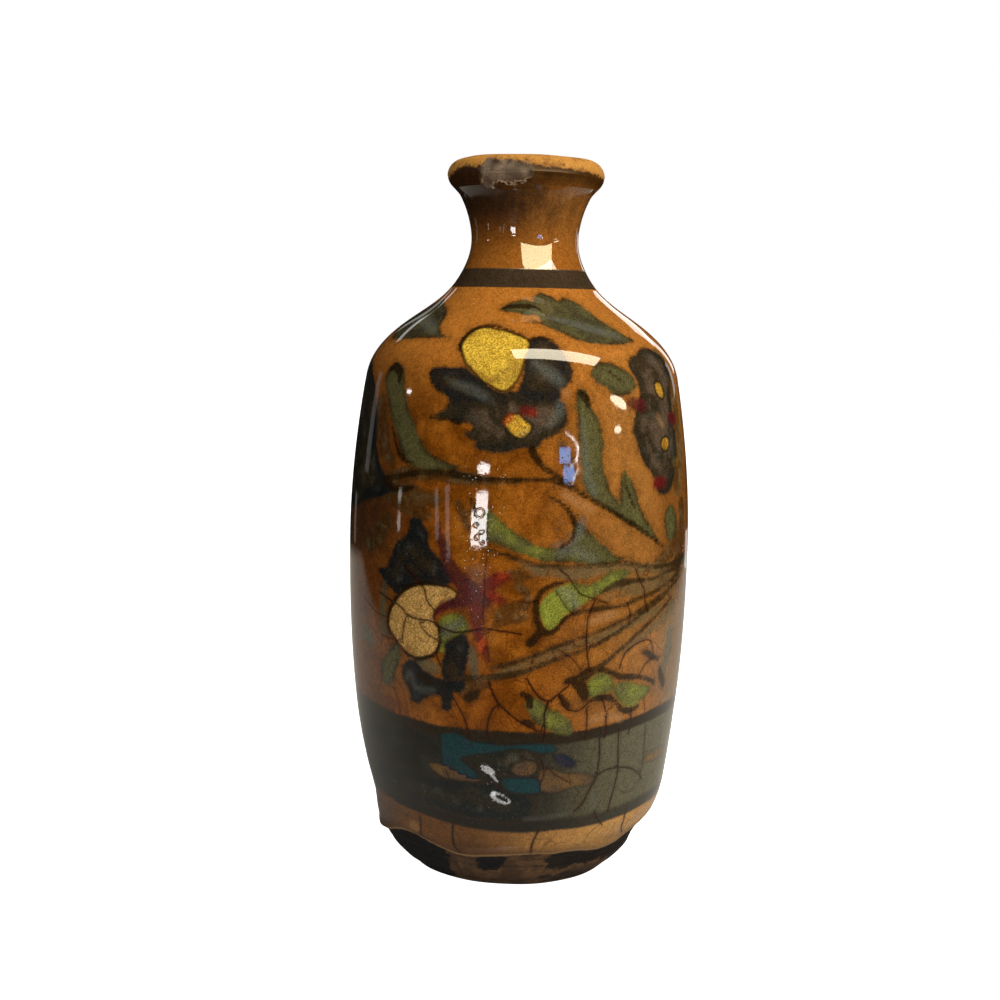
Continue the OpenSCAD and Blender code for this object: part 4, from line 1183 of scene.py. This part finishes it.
    # Grey patches inside the dark petals: a painted sheen.
    petal_sheen = r.both(r.ramp(r.noise(5 * MM, 3.0, 0.6), 0.52, 0.68), r.ramp(r.painted("petal_edge"), -0.6, -2.6))
    petal_colour = lay(petal_colour, petal_sheen, pigment("#4a4d45"), 0.5)
    colour = lay(colour, petal, petal_colour, 0.95)
    colour = lay(colour, brushed("heart", 0.5, 0.8), pigment("#2a210f"), 0.85)
    sandy = r.noise(0.55 * MM, 2.0, 0.6)
    heart_colour = r.blend(r.ramp(sandy, 0.25, 0.75), toned("heart", "#a4783a", "#9a6c1c", "#ac8222", 0.12),
                           toned("heart", "#ecbd72", "#e2ac3c", "#fbd04c", 0.12))
    heart_shade = r.both(r.ramp(r.painted("heart_edge"), -3.5, -0.2), r.ramp(r.noise(7 * MM, 3.0), 0.45, 0.7))
    heart_colour = lay(heart_colour, heart_shade, pigment("#7a4d12"), 0.6)
    colour = lay(colour, brushed("heart", 0.45), heart_colour)
    red = r.both(brushed("red", 0.9), r.ramp(cloud, 0.25, 0.6, 0.6, 0.95))
    colour = r.blend(red, colour, toned("red", "#451a20", "#641816", "#b4461c", 0.2))
    colour = lay(colour, brushed("belt", 0.5, 0.5), pigment("#1d1a12"), 0.5)
    colour = lay(colour, brushed("belt", 0.6), toned("belt", "#173f43", "#16233a", "#7a5a2e", 0.1), 0.9)
    colour = lay(colour, brushed("touch", 1.2), toned("touch", "#6b6e64", "#b98a5a", "#8a6a2c", 0.1), 0.45)
    line = brushed("line", 0.45, 0.0, 0.6)
    colour = lay(colour, line, toned("line", "#251808", "#35260f", "#463722"), 0.9)
    in_band = r.both(r.ramp(up, BAND_LOW - BAND_SOFT, BAND_LOW + BAND_SOFT),
                     r.ramp(up, BAND_HIGH + BAND_SOFT, BAND_HIGH - BAND_SOFT))
    colour = lay(colour, in_band, r.blend(cloud, pigment("#382c1b"), pigment("#48392a")))

    crack_gap, crack_tone = r.painted("crack_gap"), r.painted("crack_tone")
    crack_wide = r.sum("ABSOLUTE", r.sum("MULTIPLY_ADD", spotty, 0.1, r.painted("crack_side")))
    crack = r.both(r.ramp(crack_wide, 0.42, 0.1), r.ramp(crack_gap, 1.1, 0.6), crack_tone)
    colour = lay(colour, r.both(r.ramp(crack_gap, 1.2, 0.1), crack_tone), pigment("#431705"), 0.35)
    colour = lay(colour, crack, pigment("#220d06"), 0.9)
    bent = r.node("TexNoise", {"Vector": r.place, "Scale": BENDS_PER_METRE}).outputs["Color"]
    bent = r.node("VectorMath", {0: bent, 1: (CRAZE_BEND,) * 3}, operation="MULTIPLY").outputs[0]
    bent = r.node("VectorMath", {0: bent, 1: r.place}, operation="ADD").outputs[0]
    cells = r.node("TexVoronoi", {"Vector": bent, "Scale": CELLS_PER_METRE}, feature="DISTANCE_TO_EDGE")
    crazed = r.both(r.ramp(cells.outputs["Distance"], 0.022, 0.006), r.ramp(up, 100 * MM, 86 * MM),
                    r.ramp(cloud, 0.38, 0.6))
    colour = lay(colour, crazed, pigment("#30130a"), 0.45)

    paint = r.most(leaf, petal, line, red)
    speckle = r.sum("MULTIPLY_ADD", grit, r.sum("MULTIPLY_ADD", paint, 0.2, 0.5), 1.0)
    colour = r.shaded(colour, r.sum("MULTIPLY_ADD", spotty, 0.13, speckle))
    pooled = r.painted("pooled")
    bare = r.ramp(r.sum("ADD", pooled, waver), 0.3, -0.3)
    # A pale line just above the glaze's lower edge: a painted highlight along its roll.
    glaze_edge_highlight = r.both(r.ramp(pooled, 1.1, 0.5), r.ramp(pooled, -0.2, 0.3))
    colour = lay(colour, glaze_edge_highlight, pigment("#c39a66"), 0.6)
    colour = r.blend(bare, colour, sooty(r, grain)[0])
    colour, worn = worn_to_clay(r, colour, grain)
    colour, inside = flaked(r, colour, grain)

    clean_to, clean_from = CLEAN_ABOVE + CLEAN_FADE, CLEAN_ABOVE - CLEAN_FADE
    low_down = r.ramp(up, clean_to, clean_from)
    pits = r.node("TexVoronoi", {"Vector": r.place, "Scale": PITS_PER_METRE}, feature="F1")
    pitted = r.both(r.ramp(pits.outputs["Distance"], 0.2, 0.0), low_down)
    boiled = r.both(fleck, low_down)
    uneven = r.both(cloud, r.ramp(up, clean_to, clean_from, 0.25, 1.0))
    gloss = r.sum("ADD", r.ramp(fleck, 0.3, 0.7, 0.02, 0.05), r.ramp(pooled, 4.0, 2.5, 0.0, 0.4))
    gloss = r.sum("MULTIPLY_ADD", in_band, 0.4, gloss)
    rough = r.sum("MULTIPLY_ADD", r.most(bare, inside, worn), 0.5, gloss)
    bubble = r.ramp(r.sum("ABSOLUTE", r.painted("bubble_edge")), 0.4, 0.0)
    return r.surface(colour, rough, [(bubble, 0.035 * MM), (uneven, 0.004 * MM), (boiled, 0.008 * MM),
                                     (pitted, -0.03 * MM), (crack, -0.02 * MM), (inside, -0.15 * MM)])


finish_with(skin, amber_glaze("amber_glaze", WET_SHINE))
skin.data.materials.append(amber_glaze("dry_glaze", DRY_SHINE))
for polygon in skin.data.polygons:
    height = polygon.center[2]
    polygon.material_index = int(BAND_LOW < height < BAND_HIGH or height > DRY_ABOVE)

# Inner glaze
# A thin lining poured in, swilled round and tipped out, seen through the mouth.


def lining_glaze():
    """Brown glaze, thin and streaked where it ran."""
    r = Recipe("lining_glaze")
    streak = r.noise(8 * MM, 4.0, 0.6)
    colour = r.blend(streak, pigment("#2f1c0c"), pigment("#7a4a1c"))
    return r.surface(colour, r.ramp(streak, 0.3, 0.7, 0.15, 0.35), [(streak, 0.2 * MM)])


finish_with(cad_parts["inner_glaze"], lining_glaze())

# Floor, camera and lights
# A pale floor under soft light from the upper right, and a camera at the height of the neck. Small bright
# panels and sparks stand where the gloss mirrors them to the camera.

FLOOR_WIDE = 6.0
# The gloss finds the floor pale only near the flask: between which metres it ends to the right, to the left,
# on all sides and to the front, and how much the left end slants.
PALE_RIGHT, PALE_LEFT, PALE_ROUND, PALE_FRONT = (0.38, 0.26), (0.33, 0.26), (0.6, 0.5), (-0.2, 0.1)
LEFT_SLANT = 0.5
FLOOR_GLOW = 1.2

bpy.ops.object.select_all(action="DESELECT")
bpy.ops.mesh.primitive_plane_add(size=FLOOR_WIDE, location=(0, 0, 0))
table_top = bpy.context.object
table_top.name = "pale_floor"
floor = Recipe("pale_floor")
ray = floor.node("LightPath").outputs
across, away = floor.axis("X"), floor.axis("Y")
to_left = floor.sum("MULTIPLY_ADD", away, -LEFT_SLANT, floor.sum("MULTIPLY", across, -1.0))
far_square = floor.sum("MULTIPLY_ADD", across, across, floor.sum("MULTIPLY", away, away))
close_by = floor.both(floor.ramp(across, *PALE_RIGHT), floor.ramp(to_left, *PALE_LEFT),
                      floor.ramp(far_square, *[far ** 2 for far in PALE_ROUND]),
                      floor.ramp(away, *PALE_FRONT))
in_gloss = floor.blend(close_by, pigment("#23211e"), pigment("#dad6cb"))
lit = floor.blend(ray["Is Glossy Ray"], pigment("#aaa69e"), in_gloss)
seen = floor.blend(ray["Is Camera Ray"], lit, pigment("#f2f1ee"))
floor.surface(seen, 0.7, [(floor.noise(3 * MM), 0.02 * MM)])
floor.shader.inputs["Emission Color"].default_value = (1.0, 1.0, 1.0, 1.0)
floor.give(floor.shader.inputs["Emission Strength"], floor.both(ray["Is Camera Ray"], FLOOR_GLOW))
finish_with(table_top, floor.material)

# The camera's place in metres, its tilt and roll in degrees, its lens in millimetres and its sideways shift.
CAMERA_PLACE = (0, -0.4204, 0.1591)
PITCH_DOWN, ROLL = 7.44, 1.15
LENS, SENSOR = 53.05, 36.0
SHIFT = -0.01967
camera_data = bpy.data.cameras.new("camera")
camera = bpy.data.objects.new("camera", camera_data)
bpy.context.scene.collection.objects.link(camera)
bpy.context.scene.camera = camera
camera_data.sensor_width = SENSOR
camera_data.lens = LENS
camera_data.shift_x = SHIFT
camera.location = CAMERA_PLACE
level = Matrix.Rotation(math.radians(90 - PITCH_DOWN), 3, "X")
camera.rotation_euler = (level @ Matrix.Rotation(math.radians(ROLL), 3, "Z")).to_euler()
bpy.context.scene.view_settings.view_transform = "Standard"

# The sky's light, and what the gloss and the camera see in its place.
SKY_LIGHT, SKY_IN_GLOSS, SKY_SEEN = (0.28, 0.28, 0.28, 1.0), (0.009, 0.009, 0.008, 1.0), (1.0, 1.0, 1.0, 1.0)
world = bpy.data.worlds.new("studio")
bpy.context.scene.world = world
world.use_nodes = True
sky = world.node_tree
sky_ray = sky.nodes.new("ShaderNodeLightPath").outputs
mixes = []
for kind, colour in (("Is Glossy Ray", SKY_IN_GLOSS), ("Is Camera Ray", SKY_SEEN)):
    mix = sky.nodes.new("ShaderNodeMix")
    mix.data_type = "RGBA"
    sky.links.new(sky_ray[kind], mix.inputs[0])
    mix.inputs[6].default_value = SKY_LIGHT
    mix.inputs[7].default_value = colour
    mixes.append(mix)
sky.links.new(mixes[0].outputs[2], mixes[1].inputs[6])
sky.links.new(mixes[1].outputs[2], sky.nodes["Background"].inputs["Color"])


def lamp(name, place, aim, size, strength, colour, mirrored, roll=0, shape="RECTANGLE"):
    """A flat panel of light. A soft lamp lights the clay, and a mirrored one only shows in the gloss."""
    data = bpy.data.lights.new(name, "AREA")
    data.shape = shape
    data.size, data.size_y = size
    data.energy = strength * size[0] * size[1] * math.pi
    data.color = colour
    panel = bpy.data.objects.new(name, data)
    bpy.context.scene.collection.objects.link(panel)
    panel.location = place
    ahead = np.array(aim) - np.array(place)
    heading = Matrix.Rotation(math.atan2(ahead[1], ahead[0]) - math.pi / 2, 3, "Z")
    tip = Matrix.Rotation(math.acos(-ahead[2] / np.linalg.norm(ahead)), 3, "X")
    panel.rotation_euler = (heading @ tip @ Matrix.Rotation(math.radians(roll), 3, "Z")).to_euler()
    panel.visible_camera = False
    panel.visible_glossy = mirrored
    panel.visible_diffuse = not mirrored


MIDDLE = (0, 0, 0.11)
lamp("key", (0.55, -0.55, 0.95), MIDDLE, (0.8, 0.8), 6.0, (1.0, 0.95, 0.88), False)
lamp("front_fill", (0.1, -1.3, 0.3), MIDDLE, (1.0, 0.8), 1.2, (1.0, 0.97, 0.93), False)


def unit(arrow):
    """The arrow cut to a length of 1."""
    return arrow / np.linalg.norm(arrow)


def mirrored_at(turn, up, distance):
    """Where a lamp stands for the camera to see it in the glaze at a turn and height, and that spot."""
    below, radius, above = np.interp([up - 1, up, up + 1], rail_height, rail_radius)
    out = np.array([math.sin(math.radians(turn)), -math.cos(math.radians(turn)), 0])
    spot = (out * radius + [0, 0, up]) * MM
    normal = unit(out - [0, 0, (above - below) / 2])
    view = unit(CAMERA_PLACE - spot)
    return spot + distance * MM * (2 * (view @ normal) * normal - view), spot


def glint(name, turn, up, distance, size, strength, colour, roll, shape="RECTANGLE"):
    """A mirrored lamp that shows at one spot of the glaze. Lengths are in millimetres."""
    place, spot = mirrored_at(turn, up, distance)
    lamp(name, place, spot, (size[0] * MM, size[1] * MM), strength, colour, True, roll, shape)


CREAM = (1.0, 0.9, 0.68)
GOLD = (1.0, 0.92, 0.54)
WHITE = (1.0, 0.98, 0.95)
BLUE = (0.2, 0.45, 1.0)
# A panel close in front of the neck: its place and what it faces, in metres.
NECK_PANEL, NECK_AIM = (0.0094, -0.0292, 0.1876), (-0.0386, 0.0558, 0.2086)
lamp("neck_panel", NECK_PANEL, NECK_AIM, (28.8 * MM, 15.3 * MM), 17.0, GOLD, True, -3)
# The other panels: name, the turn and height where each shows on the glaze, how far off it stands, its width
# and height, strength, colour and roll in degrees.
PANELS = [
    ("shoulder_panel", 12.7, 147.1, 260, (251.1, 78), 15.0, CREAM, -38),
    ("window_middle", -11.6, 109.5, 600, (84, 36.1), 19.0, WHITE, 2),
    ("window_low", -12.4, 102.6, 600, (111.5, 64.8), 19.0, WHITE, 1),
    ("blue_spark", 14.1, 122, 600, (82.8, 25.3), 12.0, BLUE, -2),
    ("blue_low_spark", 15.3, 117.1, 600, (82.1, 24.4), 12.0, BLUE, -2),
    ("arc_top", 15.6, 126.8, 600, (62.6, 4.3), 11.0, WHITE, -13),
    ("arc_bend", 17.6, 125.1, 600, (51.8, 6.6), 11.0, WHITE, -24),
    ("arc_side", 18.2, 122.4, 600, (17.5, 29.3), 11.0, WHITE, -27),
    ("arc_low", 17, 120.1, 600, (59.7, 5.7), 11.0, WHITE, 16),
    ("arc_hook", 17.5, 116.7, 600, (54.2, 7.4), 11.0, WHITE, 24),
    ("left_low_spark", -41.2, 109.5, 600, (32, 20), 3.0, WHITE, 4),
    ("left_lower_spark", -41.1, 102.6, 600, (30, 30), 3.0, WHITE, 3),
    ("left_bar", -26.4, 105.6, 600, (28, 90), 1.3, WHITE, 14),
    ("left_inner_bar", -22.6, 103.8, 600, (32, 135), 1.3, WHITE, 12),
    ("left_line", -61.1, 132.5, 600, (70, 155), 0.26, WHITE, 0),
    ("left_line_core", -61.1, 132.5, 600, (35, 150), 0.36, WHITE, 0),
    ("left_edge_line", -69.9, 99.7, 600, (50, 57), 0.2, WHITE, 0),
    ("left_collar_line", -70.3, 161.9, 800, (42, 126), 0.5, WHITE, 0),
    ("left_shoulder_line", -60.3, 152, 790, (180, 42), 1.3, WHITE, 0),
    ("right_strip", 66.7, 154.6, 850, (237, 112), 2.3, WHITE, -22),
    ("right_neck_line", 75.2, 172.8, 800, (84, 224), 2.0, WHITE, 0),
    ("right_line", 69.3, 142.2, 600, (52, 130), 0.9, WHITE, 0),
    ("right_low_edge", 76, 93.1, 500, (96, 28), 0.8, WHITE, 0),
]
for panel in PANELS:
    glint(*panel)

# Small round lights, in the same way.
SPARKS = [
    ("right_spark", 34.1, 135.5, 600, (148, 18), 15.0, CREAM, -12),
    ("right_low_spark", 33.2, 128.2, 600, (66, 10.5), 15.0, CREAM, -4),
    ("belt_spark", -9.1, 37.9, 40, (10.5, 2.6), 6.0, WHITE, -14),
    ("belt_low_spark", -7, 35.8, 40, (7, 1.4), 5.0, WHITE, -30),
    ("window_top", -11.4, 118.2, 600, (98, 17.8), 17.0, WHITE, 2),
    ("left_spark", -41.5, 136.7, 600, (56, 8.5), 13.0, WHITE, 8),
]
for spark in SPARKS:
    glint(*spark, "ELLIPSE")

# A small ring of light low on the belt, made of beads: its turn, height and distance, half its width and
# height, and how much it slants. Each bead has a width, a share of that as height, and grows to one side.
RING_AT = (-4.8, 29.8, 40)
RING_WIDE, RING_HIGH, RING_SLANT = 6 * MM, 1.9 * MM, -0.1
RING_BEADS = 14
BEAD_WIDE, BEAD_FLAT, BEAD_GROWTH, BEAD_LEAST = 3 * MM, 0.34, 0.35, 0.6
ring_place, ring_spot = mirrored_at(*RING_AT)
for k in range(RING_BEADS):
    angle = 2 * math.pi * k / RING_BEADS
    aside = RING_WIDE * math.cos(angle)
    place = ring_place + [aside, 0, RING_HIGH * math.sin(angle) + RING_SLANT * aside]
    wide = BEAD_WIDE * (1 - BEAD_GROWTH * math.cos(angle - BEAD_LEAST))
    lamp("ring_bead_%d" % k, place, ring_spot, (wide, wide * BEAD_FLAT), 5.0, WHITE, True, 0, "ELLIPSE")
